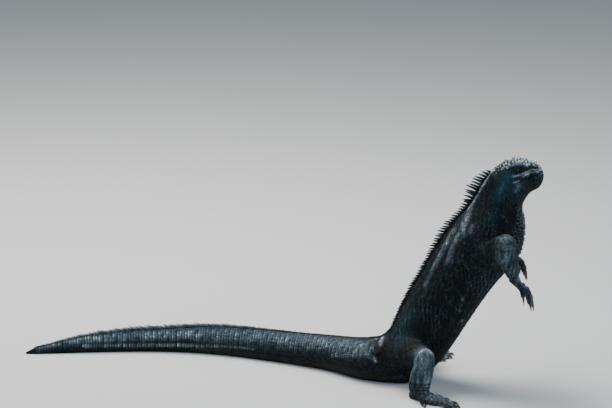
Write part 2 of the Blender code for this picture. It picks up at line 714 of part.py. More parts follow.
def rings_along(points, radii, around, flatten=1.0, turn=0.5):
    """Round rings along a line of points, each square to the line."""
    rings = []
    for i, (point, radius) in enumerate(zip(points, radii)):
        ahead = (points[min(i + 1, len(points) - 1)] - points[max(i - 1, 0)]).normalized()
        across = Vector((0, 0, 1)).cross(ahead).normalized()
        up = ahead.cross(across)
        ring = []
        for j in range(around):
            a = 2 * math.pi * (j + turn) / around
            ring.append(point + across * (radius * math.cos(a)) + up * (radius * flatten * math.sin(a)))
        rings.append(ring)
    return np.array(rings)


def build_claw(name, points, on_floor, into):
    """A curved, tapering claw that starts a gap beyond the flat end of its toe."""
    end, ahead = points[-1], (points[-1] - points[-2]).normalized()
    line = []
    for t in (0.0, 0.34, 0.68, 1.0):
        step = end + ahead * (GAP + CLAW_LENGTH * t)
        step.z += CLAW_LENGTH * (0.22 * math.sin(math.pi * t) - 0.30 * t**2)
        if on_floor:
            step.z = max(step.z, 0.8)
        line.append(step)
    radii = [CLAW_RADIUS, CLAW_RADIUS * 0.8, CLAW_RADIUS * 0.46, 0.25]
    rings = rings_along(line, radii, 5, 1.15)
    rings[0] = rings_along([line[0], line[0] + ahead], [CLAW_RADIUS] * 2, 5, 1.15)[0]
    mesh_object(name, *closed_loft(place(rings)), into, "claw")


def build_foot(name, foot, toes, side, word, on_floor, into):
    """A sole with its toes fused on, and a claw of its own before each toe."""
    piece = mesh_object(f"{name}_{word}", *closed_loft(place(sole_rings(foot, side))), into, "limb skin")
    extra = collection(f"{name} toes")
    for number, toe in enumerate(toes, 1):
        points = toe_path(foot, toe, side, on_floor)
        radii = np.linspace(TOE_RADIUS, TOE_TIP_RADIUS, len(points))
        rings = place(rings_along(points, radii, 6, turn=0.0))
        mesh_object(f"toe {number}", *closed_loft(rings), extra, "limb skin")
        build_claw(f"claw_{name}_{word}_{number}", points, on_floor, into)
    union(piece, extra)


def build_limb(limb, side, word, trunk, into):
    """One limb: its upper length meets the trunk and the lower length, which meets the foot."""
    upper_name, lower_name, foot_name = limb["names"]
    upper_bones, lower_bones = limb["bones"]
    foot, on_floor = limb["foot"], limb["on_floor"]
    rings = place(tube(lower_bones, side, 7.5))
    lower = mesh_object(f"{lower_name}_{word}", *closed_loft(rings), into, "limb skin")
    rings = place(tube(upper_bones, side, 8.0))
    upper = mesh_object(f"{upper_name}_{word}", *closed_loft(rings), into, "limb skin")
    cut(upper, trunk, remove=False)
    around_lower = place(tube(lower_bones, side, 7.5, GAP))
    cut(upper, mesh_object("lower", *closed_loft(around_lower), into))
    build_foot(foot_name, foot, limb["toes"], side, word, on_floor, into)
    around_foot = place(sole_rings(foot, side, GAP))
    if on_floor:
        around_foot[..., 2] = np.where(around_foot[..., 2] <= 0, -5, around_foot[..., 2])
    cut(lower, mesh_object("foot", *closed_loft(around_foot), into))


LIMBS = (
    {
        "names": ("thigh", "shank", "hind_foot"),
        "bones": (THIGH, SHANK),
        "foot": HIND_FOOT,
        "toes": HIND_TOES,
        "on_floor": True,
    },
    {
        "names": ("upper_arm", "forearm", "hand"),
        "bones": (UPPER_ARM, FOREARM),
        "foot": FORE_FOOT,
        "toes": FORE_TOES,
        "on_floor": False,
    },
)


def main():
    """Clears the scene, then builds the head, the lengths of the body and tail, and four limbs."""
    for thing in list(bpy.data.objects):
        bpy.data.objects.remove(thing)
    into = collection("marine_iguana")
    helpers = collection("cutters")
    helpers.hide_render = True
    build_head(into, helpers)
    build_trunk(into)
    trunk = trunk_cutter(helpers)
    for side, word in ((1, "right"), (-1, "left")):
        for limb in LIMBS:
            build_limb(limb, side, word, trunk, into)


main()
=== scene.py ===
"""A life-size marine iguana, still, sitting up on its hind feet and tail, facing +X.

Tables are in millimetres. The body is one surface: a back line, a belly line and a half width at named
sections, carried round by superellipses. Limbs are tubes along their bones. All flesh is joined into one
skin, its creases are rounded, and scales, plates and spines are copies of small forms that stand on it.
"""

import math

import bmesh
import bpy
import numpy as np
from mathutils import Matrix, Vector


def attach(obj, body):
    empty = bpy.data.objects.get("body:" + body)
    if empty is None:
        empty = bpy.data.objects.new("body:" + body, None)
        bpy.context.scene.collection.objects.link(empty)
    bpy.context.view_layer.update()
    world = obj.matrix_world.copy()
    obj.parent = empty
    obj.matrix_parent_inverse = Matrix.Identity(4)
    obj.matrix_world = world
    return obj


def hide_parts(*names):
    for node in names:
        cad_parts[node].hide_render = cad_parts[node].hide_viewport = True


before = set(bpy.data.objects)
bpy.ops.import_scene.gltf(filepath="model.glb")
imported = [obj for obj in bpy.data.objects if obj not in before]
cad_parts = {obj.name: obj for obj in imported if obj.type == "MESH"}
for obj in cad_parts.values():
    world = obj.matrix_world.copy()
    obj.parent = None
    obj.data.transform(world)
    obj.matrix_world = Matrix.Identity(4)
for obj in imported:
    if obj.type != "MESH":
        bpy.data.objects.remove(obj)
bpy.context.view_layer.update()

MM = 0.001
CENTRE = (184.0, 0.0)  # moves the middle of the animal's plan to the origin
LOWEST = 0.4  # no scale's foot stands lower than this

# Sections from the snout to the tip of the tail, before the tail is bent sideways.
# name: back (x, z), belly (x, z), half width, height of the widest place, squareness of back and of belly
SECTIONS = {
    "snout": ((206.2, 327.6), (206.2, 327.2), 0.4, 0.50, 2.0, 2.0),
    "lips": ((203.7, 332.6), (205.2, 317.0), 8.8, 0.70, 2.2, 2.1),
    "nose": ((199.3, 336.8), (202.0, 309.9), 13.2, 0.68, 2.4, 2.2),
    "nostrils": ((193.5, 341.2), (197.5, 305.2), 16.2, 0.64, 2.6, 2.2),
    "muzzle": ((183.5, 343.4), (191.5, 302.0), 19.0, 0.605, 2.9, 2.2),
    "canthus": ((173.5, 344.4), (186.5, 298.6), 21.8, 0.57, 3.3, 2.2),
    "eyes": ((162.5, 344.2), (181.5, 291.5), 24.8, 0.565, 3.5, 2.2),
    "cheeks": ((150.5, 342.2), (177.3, 282.0), 27.8, 0.57, 3.0, 2.2),
    "jowls": ((139.0, 337.6), (176.8, 272.6), 29.5, 0.55, 2.6, 2.2),
    "occiput": ((128.9, 328.6), (178.6, 263.2), 30.0, 0.52, 2.4, 2.2),
    "nape": ((118.1, 310.9), (180.2, 252.5), 30.5, 0.50, 2.2, 2.1),
    "neck": ((107.6, 292.4), (181.4, 241.5), 32.5, 0.50, 2.2, 2.1),
    "withers": ((96.5, 275.8), (180.6, 229.1), 37.0, 0.50, 2.2, 2.1),
    "shoulders": ((81.9, 257.0), (177.0, 208.4), 42.5, 0.50, 2.2, 2.2),
    "chest": ((63.6, 231.5), (160.5, 183.0), 46.5, 0.49, 2.1, 2.2),
    "ribs": ((46.8, 202.5), (138.5, 155.0), 48.0, 0.48, 2.1, 2.2),
    "flank": ((31.8, 173.5), (119.0, 126.0), 49.5, 0.47, 2.1, 2.2),
    "waist": ((17.0, 146.0), (100.5, 96.0), 50.5, 0.46, 2.1, 2.3),
    "belly": ((4.2, 119.5), (83.0, 66.5), 50.5, 0.46, 2.1, 2.3),
    "loin": ((-6.2, 94.5), (64.5, 38.5), 47.5, 0.46, 2.1, 2.3),
    "hips": ((-14.6, 77.0), (42.5, 14.5), 43.5, 0.46, 2.2, 2.4),
    "pelvis": ((-26.5, 66.5), (17.5, 1.0), 36.5, 0.45, 2.2, 2.4),
    "vent": ((-42.0, 62.5), (-14.0, -2.6), 30.5, 0.44, 2.1, 2.3),
    "tail root": ((-63.0, 58.6), (-49.0, -3.0), 26.0, 0.44, 2.0, 2.2),
    "tail base": ((-96.0, 54.0), (-91.0, -2.8), 22.0, 0.43, 1.9, 2.1),
    "tail front": ((-158.0, 48.2), (-156.0, -2.5), 17.5, 0.42, 1.8, 2.0),
    "tail middle": ((-236.0, 45.0), (-235.0, -2.3), 14.0, 0.40, 1.7, 2.0),
    "tail blade": ((-312.0, 42.0), (-311.0, -2.1), 11.6, 0.38, 1.7, 1.9),
    "tail third": ((-388.0, 35.2), (-387.0, -1.9), 9.6, 0.38, 1.7, 1.9),
    "tail narrow": ((-462.0, 30.4), (-462.0, -1.7), 7.8, 0.38, 1.7, 1.9),
    "tail end": ((-522.0, 22.6), (-522.0, -1.4), 6.0, 0.40, 1.8, 1.9),
    "tail point": ((-566.0, 13.6), (-566.0, -1.0), 4.2, 0.42, 1.9, 1.9),
    "tail tip": ((-594.0, 7.2), (-594.0, -0.5), 2.6, 0.45, 2.0, 2.0),
    "end": ((-603.0, 2.6), (-603.0, 0.8), 0.5, 0.50, 2.0, 2.0),
}

# How far the tail has turned away from straight back, in degrees, at each distance behind x = 0.
TAIL_TURN = (
    (0, 0),
    (28, 9),
    (60, 33),
    (92, 39),
    (130, 27),
    (180, 22.5),
    (260, 18),
    (340, 6),
    (420, -6),
    (500, -11),
    (640, -12),
)

# Height of the crest's spines: section, millimetres behind it along the body, height.
CREST = (
    ("occiput", 0, 6.5),
    ("occiput", 6, 13.0),
    ("nape", -3, 18.0),
    ("nape", 7, 21.0),
    ("neck", 2, 17.5),
    ("withers", 0, 10.5),
    ("shoulders", 0, 9.5),
    ("shoulders", 14, 12.0),
    ("chest", 0, 12.0),
    ("ribs", 0, 9.0),
    ("flank", 0, 7.5),
    ("belly", 0, 6.0),
    ("hips", 0, 4.2),
    ("tail root", 0, 3.0),
    ("tail front", 0, 3.6),
    ("tail middle", 0, 6.0),
    ("tail blade", 0, 8.5),
    ("tail third", 0, 10.0),
    ("tail narrow", 0, 9.5),
    ("tail end", 0, 8.0),
    ("tail tip", 0, 2.6),
)
# How far the spines lean towards the tail, in degrees.
CREST_LEAN = (("occiput", 0), ("neck", 2), ("shoulders", 12), ("loin", 16), ("tail base", 26), ("end", 32))
# Where the crest's spacing changes: first and last section, millimetres from one spine to the next.
CREST_SPACING = (
    ("occiput", "withers", 4.7),
    ("withers", "flank", 4.2),
    ("flank", "tail root", 4.4),
    ("tail root", "end", 4.25),
)

# Rings of the skin's mesh: first and last section and number of rings, then the points in each ring.
SKIN_ROWS = (("snout", "occiput", 160), ("occiput", "tail root", 176), ("tail root", "end", 190))
SKIN_ROUND = 120

# The line of the mouth: x and height, from behind its corner to the tip of the snout.
MOUTH = ((156, 314.0), (166, 319.0), (177, 323.4), (188, 327.2), (197, 328.4), (207, 328.2))
# The right eye, on the line of the lids, and half the length and height of the lids' opening.
EYE = (165.0, -18.6, 336.6)
EYE_RADIUS = 5.1
LID_OPENING = (4.7, 2.15)
NOSTRIL = (192.6, -10.6, 340.2)
NOSTRIL_RADIUS = 1.9
# The ear drum seen from the side: x and height of its middle, half length and half height.
EAR = ((140.3, 311.0), (4.0, 5.9))
# The ridge over each eye, on the right side: its two ends.
BROW = ((178, -17.5, 345.5), (151, -23.5, 343))
# Forms of the head on the right side: how far each stands out, its two ends and its radius.
HEAD_FORMS = {
    "brow": (3.4, (175, -18.5, 344.5), (153, -22.5, 342.5), 4.4),
    "hollow of the eye": (-2.0, (169, -24, 336.5), (161.5, -25, 336.0), 4.6),
    "upper lip, at the front": (1.6, (202, -4, 335.5), (195, -14.5, 335.5), 2.1),
    "upper lip, under the nostril": (2.0, (195, -14.5, 335.5), (186, -17.5, 335.5), 2.1),
    "upper lip, at the side": (2.0, (186, -17.5, 335.5), (174, -23.2, 331.2), 2.1),
    "fold under the eye": (1.8, (174, -23.2, 331.2), (158, -27.3, 328.0), 2.1),
    "lower lip": (1.2, (198, -12, 320.5), (164, -26, 313.0), 3.2),
    "swelling of the nostril": (1.8, (191.5, -9.5, 340.0), (190.5, -9.5, 340.5), 5.0),
    "muscle of the jaw": (2.6, (150, -29, 303), (143, -31, 296), 13.0),
    "front edge of the ear": (2.2, (146.5, -28, 317), (145.5, -29, 304), 2.2),
    "back edge of the ear": (1.0, (135.5, -28, 316), (134.5, -29, 306), 2.0),
    "ear drum": (-3.0, (140.8, -29, 313.5), (139.8, -29, 308.5), 3.4),
}
# Rows of plates beside the mouth: height above its line, spacing along it, height of a plate.
LIP_ROWS = ((1.7, 2.9, 2.4), (4.0, 2.6, 2.1), (-1.8, 2.8, 2.4), (-4.2, 2.6, 2.2))
# Rings of small plates on the lids: share of the opening, number of plates.
LID_RINGS = ((1.32, 26), (1.62, 30), (1.95, 34))
# Large scutes behind the jowl on the right side: distance behind the cheeks, degrees down, width.
JOWL_SCUTES = (
    (-2, 18, 4.0),
    (3, 11, 3.6),
    (4, 23, 5.4),
    (8, 16, 4.8),
    (10, 28, 4.6),
    (13, 8, 3.4),
    (15, 20, 4.2),
    (17, 31, 3.8),
    (-1, 30, 3.2),
    (5, 34, 3.6),
    (20, 13, 3.2),
    (22, 25, 3.4),
)

# Rows of scales: how long a row is and how wide a scale, each at distances from the snout.
HEAD_ROWS = (((0, 1.9), (20, 2.1), (40, 1.9), (82, 2.2)), ((0, 2.0), (20, 2.3), (45, 1.8), (82, 2.1)))
BODY_ROWS = (((82, 2.3), (180, 2.6), (400, 2.7), (447, 3.2)), ((82, 2.1), (180, 2.5), (447, 2.5)))
TAIL_ROWS = (((447, 4.25), (990, 4.25)), ((447, 3.0), (700, 2.6), (990, 1.7)))

# Bones of the right limbs: x, y, z, and half thickness along the body and across it.
THIGH = (
    (7, -10, 50, 30, 26),
    (14, -36, 54, 26.5, 23),
    (24, -62, 59, 20, 18),
    (33, -82, 60.5, 15, 13.5),
    (35.5, -91, 59.5, 12, 11.5),
)
SHANK = (
    (37, -91, 76.5, 8.5, 8.5),
    (36, -91.5, 66, 12.5, 12.0),
    (33.5, -93, 48, 15.0, 14.0),
    (30, -94, 30, 16.0, 13.5),
    (27.5, -94, 15, 15.5, 12.5),
    (27, -94, 6, 14.0, 11.5),
)
UPPER_ARM = (
    (116, -16, 196, 20, 20),
    (124, -36, 204, 19, 19),
    (135, -58, 219, 17.5, 17),
    (142.5, -75, 234.5, 17.5, 16.5),
    (145.5, -82, 242, 16, 15.5),
)
FOREARM = (
    (146.5, -81, 253.5, 12.5, 12.5),
    (147, -82, 242.5, 17, 16),
    (149.5, -83, 226, 16.5, 15),
    (155.5, -84, 208, 13.0, 11.5),
    (161, -84, 195, 10.0, 8.5),
    (164.5, -84, 187, 8.5, 7.5),
)
# Feet: the ankle or wrist, the way the foot points and slopes in degrees, and the size of the sole.
HIND_FOOT = {
    "at": (27.0, -94.0, 10.3),
    "turn": 40,
    "slope": 0,
    "length": 38.0,
    "half_width": 14.5,
    "thickness": 11.6,
}
FORE_FOOT = {
    "at": (165.5, -84.0, 186.0),
    "turn": 6,
    "slope": -38,
    "length": 20.0,
    "half_width": 12.5,
    "thickness": 8.0,
}
# Outline of a heel and sole: shares of its length and half width, top and bottom by its thickness.
SOLE = (
    (-0.36, 0.30, 0.10, -0.75),
    (-0.30, 0.52, 0.45, -0.97),
    (-0.12, 0.72, 0.72, -1.0),
    (0.12, 0.80, 0.62, -1.0),
    (0.40, 0.84, 0.25, -1.0),
    (0.72, 0.97, -0.02, -1.0),
    (0.95, 1.00, -0.16, -1.0),
    (1.08, 0.86, -0.36, -0.94),
)
# Toes: length without the claw, the way each points from the foot's own way in degrees (inwards is more),
# its place across the sole and the share of the sole's length where it starts.
HIND_TOES = (
    (17, 34, 0.82, 0.72),
    (27, 18, 0.5, 0.92),
    (36, 5, 0.08, 1.0),
    (43, -9, -0.36, 0.97),
    (26, -42, -0.8, 0.5),
)
FORE_TOES = (
    (14, 38, 0.8, 0.75),
    (22, 19, 0.45, 0.95),
    (26, 2, 0.0, 1.0),
    (24, -17, -0.45, 0.95),
    (16, -40, -0.8, 0.75),
)
LIMBS = ((THIGH, SHANK, HIND_FOOT, HIND_TOES, True), (UPPER_ARM, FOREARM, FORE_FOOT, FORE_TOES, False))
TOE_RADIUS = 4.3
TOE_TIP_RADIUS = 3.0
CLAW_LENGTH = 10.0
CLAW_RADIUS = 2.3
GAP = 0.3

# Folds of loose skin on the right side: start, end, radius, height.
FOLDS = (
    # Over the shoulder and down the back.
    ((97, -12, 272), (90, -27, 257), 3.0, 1.6),
    ((90, -27, 257), (84, -33, 240), 3.2, 1.4),
    ((74, -18, 241), (59, -22, 214), 3.6, 2.0),
    ((59, -22, 214), (48, -26, 189), 3.4, 1.7),
    ((48, -26, 189), (33, -30, 158), 3.2, 1.2),
    ((80, -29, 237), (66, -38, 197), 3.2, 1.3),
    # Down the neck beside the crest.
    ((132, -3, 332), (121, -4, 316), 2.0, 1.3),
    ((121, -4, 316), (112, -5.5, 301), 2.2, 1.8),
    ((112, -5.5, 301), (103, -8.5, 284), 2.4, 1.8),
    ((103, -8.5, 284), (97, -12, 272), 2.4, 1.6),
    # Neck, chest and flank.
    ((148, -31, 290), (128, -35, 262), 3.6, 1.4),
    ((160, -29, 276), (150, -36, 245), 3.4, 1.3),
    ((160, -30, 245), (128, -40, 225), 4.0, 1.5),
    ((140, -41, 205), (116, -45, 178), 4.0, 1.1),
    ((104, -43, 150), (80, -44, 104), 4.0, 0.9),
    # Root of the tail and the thigh.
    ((-20, -22, 64), (-31, -28, 42), 3.0, 1.6),
    ((-36, -8, 62), (-37, -23.4, 50), 2.6, 1.6),
    ((-42, -10.5, 60), (-44, -24, 45), 2.6, 1.6),
    ((-46, -22, 48), (-31, -29, 38), 2.8, 1.9),
    ((-99, -20.6, 29.3), (-46, -24.5, 42), 4.0, 1.1),
    ((38, -43, 24), (-10, -34, 12), 3.6, 1.2),
    # Elbow.
    ((131, -93, 254), (158, -94, 254), 4.0, 1.2),
    ((124, -93, 232), (132, -98, 239), 2.8, 1.1),
    ((132, -98, 239), (146, -101, 241), 2.8, 1.2),
    ((146, -101, 241), (164, -93, 234), 2.8, 1.1),
)
# Narrow creases on the right side, with their depth.
CREASES = (
    ((131, -92, 244), (146, -100, 242), 1.7, 1.5),
    ((146, -100, 242), (163, -93, 244), 1.7, 1.5),
    ((133, -92, 234), (148, -99, 231), 1.5, 1.0),
    ((148, -99, 231), (164, -92, 234), 1.5, 1.0),
    ((171, -23, 343.0), (158, -25.5, 341.5), 1.0, 0.7),
    ((172, -24, 330.6), (158, -27, 330.0), 1.0, 0.7),
    ((24, -100, 59), (45, -100, 58), 1.6, 0.9),
)
# Pale skin on the right side: start, end, radius, strength. Part is real wear and salt, part is painted
# highlight where light catches raised lines and edges.
PALE = (
    # Crown, and a painted highlight along the lit edge of the brow.
    ((200, 0, 340), (152, 0, 343), 15.0, 0.15),
    ((181, -12, 343), (166, -13, 345.5), 2.8, 1.25),
    ((166, -13, 345.5), (155, -16, 344), 2.8, 1.25),
    ((155, -16, 344), (144, -15, 338.7), 2.6, 1.2),
    # Painted highlights on the lit upper lip and the fold under the eye, and pale at the corner of the
    # mouth.
    ((203, -4, 335.6), (196, -14, 335), 2.7, 2.4),
    ((196, -14, 335), (186, -17.4, 335.2), 2.7, 2.4),
    ((186, -17.4, 335.2), (174, -23.2, 331.2), 2.2, 2.4),
    ((204, -8, 330), (199, -13.5, 328), 1.8, 0.9),
    ((174, -23.2, 331.2), (160, -27.3, 328.5), 1.8, 2.0),
    ((183, -19, 331), (172, -25, 327), 1.3, 1.6),
    ((168, -26.5, 322), (161, -28, 319.4), 2.4, 0.6),
    # Painted highlight down the lit edge of the neck beside the crest, and pale streaks over the shoulder.
    ((132, -3, 332), (121, -4, 316), 2.8, 1.7),
    ((121, -4, 316), (112, -5.5, 301), 3.0, 1.7),
    ((112, -5.5, 301), (103, -8.5, 284), 2.8, 1.5),
    ((103, -8.5, 284), (97, -12, 272), 3.0, 1.1),
    ((99, -11, 272), (85, -33, 242), 7.0, 0.85),
    ((102, -33, 254), (98, -36, 244), 4.0, 0.5),
    # Painted highlight on the throat's front edge.
    ((177, -10, 282), (182, -8, 250), 5.0, 1.5),
    ((182, -8, 250), (181, -6, 226), 4.5, 1.3),
    # Folds of the back, and flecks on the flank.
    ((74, -18, 241), (48, -26, 189), 5.4, 0.85),
    ((48, -26, 189), (33, -30, 158), 4.5, 0.55),
    ((80, -29, 237), (66, -38, 197), 5.0, 0.6),
    ((90, -48, 143), (90, -48, 142), 2.4, 0.9),
    ((89, -48, 134), (89, -48, 133), 1.8, 0.7),
    ((87, -47, 125), (87, -47, 124), 2.6, 0.9),
    ((91, -40, 108), (91, -40, 107), 2.6, 0.8),
    # Painted highlights on the lit edges of the folds at the tail's root.
    ((-26, -3, 66.6), (-27, -18.6, 60.7), 4.0, 1.2),
    ((-36, -3, 63.6), (-37, -23.4, 50), 3.4, 1.1),
    ((-43, -8, 61), (-45, -24.3, 44.6), 3.2, 1.1),
    ((-46, -22, 48), (-31, -29.2, 37.8), 3.6, 1.2),
    ((-99, -20.6, 29.3), (-46, -25, 42), 4.4, 0.8),
    # Upper side of the tail, pale partly as painted light from above, and a painted highlight along the lit
    # ridge of its lower side.
    ((-50, -15, 48), (-330, -9, 33), 15.0, 1.0),
    ((-330, -7, 31), (-540, -3, 22), 9.0, 1.3),
    ((-540, -3, 20), (-586, 0, 8), 6.0, 0.8),
    ((-240, -13.6, 18.5), (-326, -11, 13.5), 3.2, 0.7),
    ((-326, -11, 13.5), (-419, -8.9, 11.5), 3.4, 1.1),
    ((-419, -8.9, 11.5), (-515, -6, 11.5), 3.4, 1.1),
    # Jowl and ear drum.
    ((168, -27, 316), (165, -28, 308), 5.0, 0.45),
    ((140.6, -29, 313), (139.8, -29, 309), 2.6, 2.2),
    # Shank and hind foot, pale partly from dust and partly as painted light, and a painted highlight on the
    # knee's top.
    ((36, -92, 82), (33, -95, 40), 17.0, 1.7),
    ((38, -100, 92), (37, -104, 86), 5.0, 1.8),
    ((30, -95, 30), (70, -125, 2), 20.0, 1.2),
    # Painted highlights on the elbow's lit folds, and forearm and hand pale partly from dust and partly as
    # painted light.
    ((131, -92, 254), (152, -94, 255), 3.4, 1.1),
    ((122, -92, 231), (131, -98, 239), 2.4, 1.1),
    ((131, -98, 239), (146, -101, 241.5), 2.2, 1.1),
    ((146, -101, 241.5), (158, -98, 240), 2.2, 1.1),
    ((158, -98, 240), (164, -93, 233), 2.6, 1.0),
    ((147, -90, 246), (150, -90, 222), 13.0, 1.25),
    ((152, -86, 215), (190, -88, 150), 14.0, 0.7),
)
# Skin with a blue-green cast, and skin stained brown, in the same form.
TEAL = (
    ((158, -27, 329), (150, -27, 327), 6.0, 1.4),
    ((142, -29, 315), (138, -29, 308), 6.0, 1.2),
    ((150, -30, 324), (136, -32, 298), 14.0, 0.65),
    ((176, -26, 318), (160, -28, 310), 9.0, 0.4),
    ((138, -33, 290), (124, -34, 262), 12.0, 0.3),
    ((-50, -10, 54), (-330, -6, 38), 14.0, 0.5),
    ((-330, -6, 38), (-560, -3, 20), 12.0, 0.4),
    ((36, -100, 82), (33, -100, 40), 18.0, 0.5),
    ((147, -92, 246), (150, -92, 222), 14.0, 0.4),
    ((10, -30, 110), (-5, -35, 80), 20.0, 0.3),
)
BROWN = (
    ((-20, -30, 4), (-130, -20, 2), 13.0, 0.8),
    ((-130, -16, 3), (-330, -9, 2), 11.0, 0.5),
    ((205, -4, 325), (192, -16, 327), 2.2, 0.5),
)


def linear(code):
    """An sRGB hex colour as linear red, green, blue and alpha."""
    parts = [int(code[i : i + 2], 16) / 255 for i in (1, 3, 5)]
    return (*(c / 12.92 if c <= 0.04045 else ((c + 0.055) / 1.055) ** 2.4 for c in parts), 1.0)


def unit(v):
    """Vectors at length 1."""
    return v / np.maximum(np.linalg.norm(v, axis=-1, keepdims=True), 1e-9)


def run_along(line):
    """Distance from the first point of a line to each of its points."""
    return np.concatenate([[0], np.cumsum(np.linalg.norm(np.diff(line, axis=0), axis=1))])


def round_angles(count):
    """Equal angles once round."""
    return 2 * np.pi * np.arange(count) / count


def smooth(knots, values, at):
    """A cubic curve through the values, whose slope at each knot is the weighted mean of its neighbours'."""
    knots = np.asarray(knots, float)
    values = np.asarray(values, float).reshape(len(knots), -1)
    at = np.atleast_1d(np.asarray(at, float))
    step = np.diff(knots)[:, None]
    chord = np.diff(values, axis=0) / step
    middle = (chord[:-1] * step[1:] + chord[1:] * step[:-1]) / (step[:-1] + step[1:])
    slope = np.vstack([chord[:1], middle, chord[-1:]])
    i = np.clip(np.searchsorted(knots, at, side="right") - 1, 0, len(step) - 1)
    t = ((at - knots[i]) / step[i, 0])[:, None]
    h = step[i]
    return (
        values[i] * (1 + 2 * t) * (1 - t) ** 2
        + slope[i] * h * t * (1 - t) ** 2
        + values[i + 1] * t**2 * (3 - 2 * t)
        + slope[i + 1] * h * t**2 * (t - 1)
    )


def section_table():
    """The sections as rows of numbers, and how far each lies from the snout along the body."""
    rows = np.array([[*back, *belly, *rest] for back, belly, *rest in SECTIONS.values()])
    back = np.linalg.norm(np.diff(rows[:, 0:2], axis=0), axis=1)
    belly = np.linalg.norm(np.diff(rows[:, 2:4], axis=0), axis=1)
    return rows, np.concatenate([[0], np.cumsum((back + belly) / 2)])


TABLE, STATIONS = section_table()
PLACE = dict(zip(SECTIONS, STATIONS))


def straight_body(u, v):
    """Body points at distances u from the snout and angles v round it, from the left flank over the back.

    Each section is a superellipse between its back and belly points: |c|^n + |s|^n = 1 gives the reach.
    """
    s = smooth(STATIONS, TABLE, u)
    back, belly, width, share = s[:, None, 0:2], s[:, None, 2:4], s[:, None, 4], s[:, None, 5]
    v = np.atleast_2d(v)
    c, w = np.cos(v), np.sin(v)
    n = np.where(w >= 0, s[:, None, 6], s[:, None, 7])
    reach = (np.abs(c) ** n + np.abs(w) ** n) ** (-1 / n)
    height = share + np.where(w >= 0, 1 - share, share) * reach * w
    side = belly + (back - belly) * height[..., None]
    return np.stack([side[..., 0], width * reach * c, side[..., 1]], axis=-1)


def normals_of(surface, u, v, step_u=0.4, step_v=0.02):
    """Unit normals that point out of a surface of two parameters, from the difference of near points."""
    along = surface(u + step_u, v) - surface(u - step_u, v)
    round_it = surface(u, np.asarray(v) + step_v) - surface(u, np.asarray(v) - step_v)
    return unit(np.cross(along, round_it))


def ridge(p, start, end, radius):
    """1 on the line from start to end, falling to 0 as a bell about one radius away from it."""
    start, end = np.array(start, float), np.array(end, float)
    way = end - start
    t = np.clip(((p - start) @ way) / (way @ way), 0, 1)
    off = np.linalg.norm(p - start - t[..., None] * way, axis=-1)
    return np.exp(-((off / radius) ** 2) * 1.6)


def right_side(p):
    """Points of the left side mirrored to the right, where the tables of folds and markings are drawn."""
    return np.stack([p[..., 0], -np.abs(p[..., 1]), p[..., 2]], axis=-1)


def head_forms(p):
    """How far the head's skin stands out from its plain sections: the sum of bells on short lines."""
    q = right_side(p)
    return sum(height * ridge(q, *line) for height, *line in HEAD_FORMS.values())


def above_mouth(p):
    """How far straight points lie above the line of the mouth, and 1 where the mouth runs."""
    x, height = np.array(MOUTH).T
    return p[..., 2] - np.interp(p[..., 0], x, height), step(p[..., 0], 158, 164)


def mouth_groove(p):
    """Depth of the line of the mouth, a narrow bell of the height above it."""
    above, along = above_mouth(p)
    return 1.5 * along * np.exp(-((above / 0.75) ** 2))


def back_ridge(u, v):
    """Height of the fleshy ridge that bears the crest: a bell of the way from the middle of the back."""
    aside = np.cos(v) * smooth(STATIONS, TABLE, u)[:, 4:5]
    knots = [PLACE[name] for name in ("cheeks", "nape", "tail root", "end")]
    tall = np.interp(u, knots, [0, 1.9, 1.3, 0.4])
    return tall[:, None] * np.exp(-((aside / 2.7) ** 2)) * (np.sin(v) > 0)


def body_surface(u, v, inflate=0.0):
    """The straight body with the head's forms and the ridge of the back, moved out along its normals."""
    v = np.atleast_2d(v)
    p = straight_body(u, v)
    near_tip = np.clip((u - 1.0) / 6.0, 0, 1)[:, None]
    out = head_forms(p) * near_tip - mouth_groove(p) + back_ridge(u, v) + inflate
    return p + normals_of(straight_body, u, v) * out[..., None]


def tail_path():
    """The plan of the spine behind x = 0: distance, x, y and heading, by adding up steps of 1 mm."""
    s = np.arange(TAIL_TURN[-1][0] + 1.0)
    turn = np.radians(smooth(*np.array(TAIL_TURN, float).T, s)[:, 0])
    x = -np.concatenate([[0], np.cumsum((np.cos(turn[1:]) + np.cos(turn[:-1])) / 2)])
    y = np.concatenate([[0], np.cumsum((np.sin(turn[1:]) + np.sin(turn[:-1])) / 2)])
    return s, x, y, turn


PATH = tail_path()


def place(p):
    """Bends straight points sideways along the tail's path, presses them on the floor and centres them."""
    p = np.array(p, float)
    s, path_x, path_y, path_turn = PATH
    back = np.maximum(-p[..., 0], 0)
    turn = np.interp(back, s, path_turn)
    x = np.interp(back, s, path_x) + np.sin(turn) * p[..., 1] + np.maximum(p[..., 0], 0)
    y = np.interp(back, s, path_y) + np.cos(turn) * p[..., 1]
    return np.stack([x + CENTRE[0], y + CENTRE[1], np.maximum(p[..., 2], 0)], axis=-1)


def unplace(p):
    """The straight point that was bent to p: its distance along the path's nearest part, and its offset."""
    q = np.array(p, float) - np.array([*CENTRE, 0])
    s, path_x, path_y, path_turn = PATH
    tail = q[:, 0] < 0
    coarse = slice(None, None, 8)
    away = (q[tail, None, 0] - path_x[None, coarse]) ** 2 + (q[tail, None, 1] - path_y[None, coarse]) ** 2
    near = s[coarse][np.argmin(away, axis=1)]
    dx, dy = q[tail, 0] - np.interp(near, s, path_x), q[tail, 1] - np.interp(near, s, path_y)
    turn = np.interp(near, s, path_turn)
    along = near + (-np.cos(turn) * dx + np.sin(turn) * dy)
    q[tail, 0], q[tail, 1] = -along, np.sin(turn) * dx + np.cos(turn) * dy
    return q


def bells(p, table):
    """The strongest of a table's bells at each point."""
    q = right_side(p)
    best = np.zeros(p.shape[:-1])
    for start, end, radius, strength in table:
        best = np.maximum(best, strength * ridge(q, start, end, radius))
    return best


def step(value, low, high):
    """0 below low, 1 above high, and a smooth rise between them."""
    t = np.clip((value - low) / (high - low), 0, 1)
    return t * t * (3 - 2 * t)


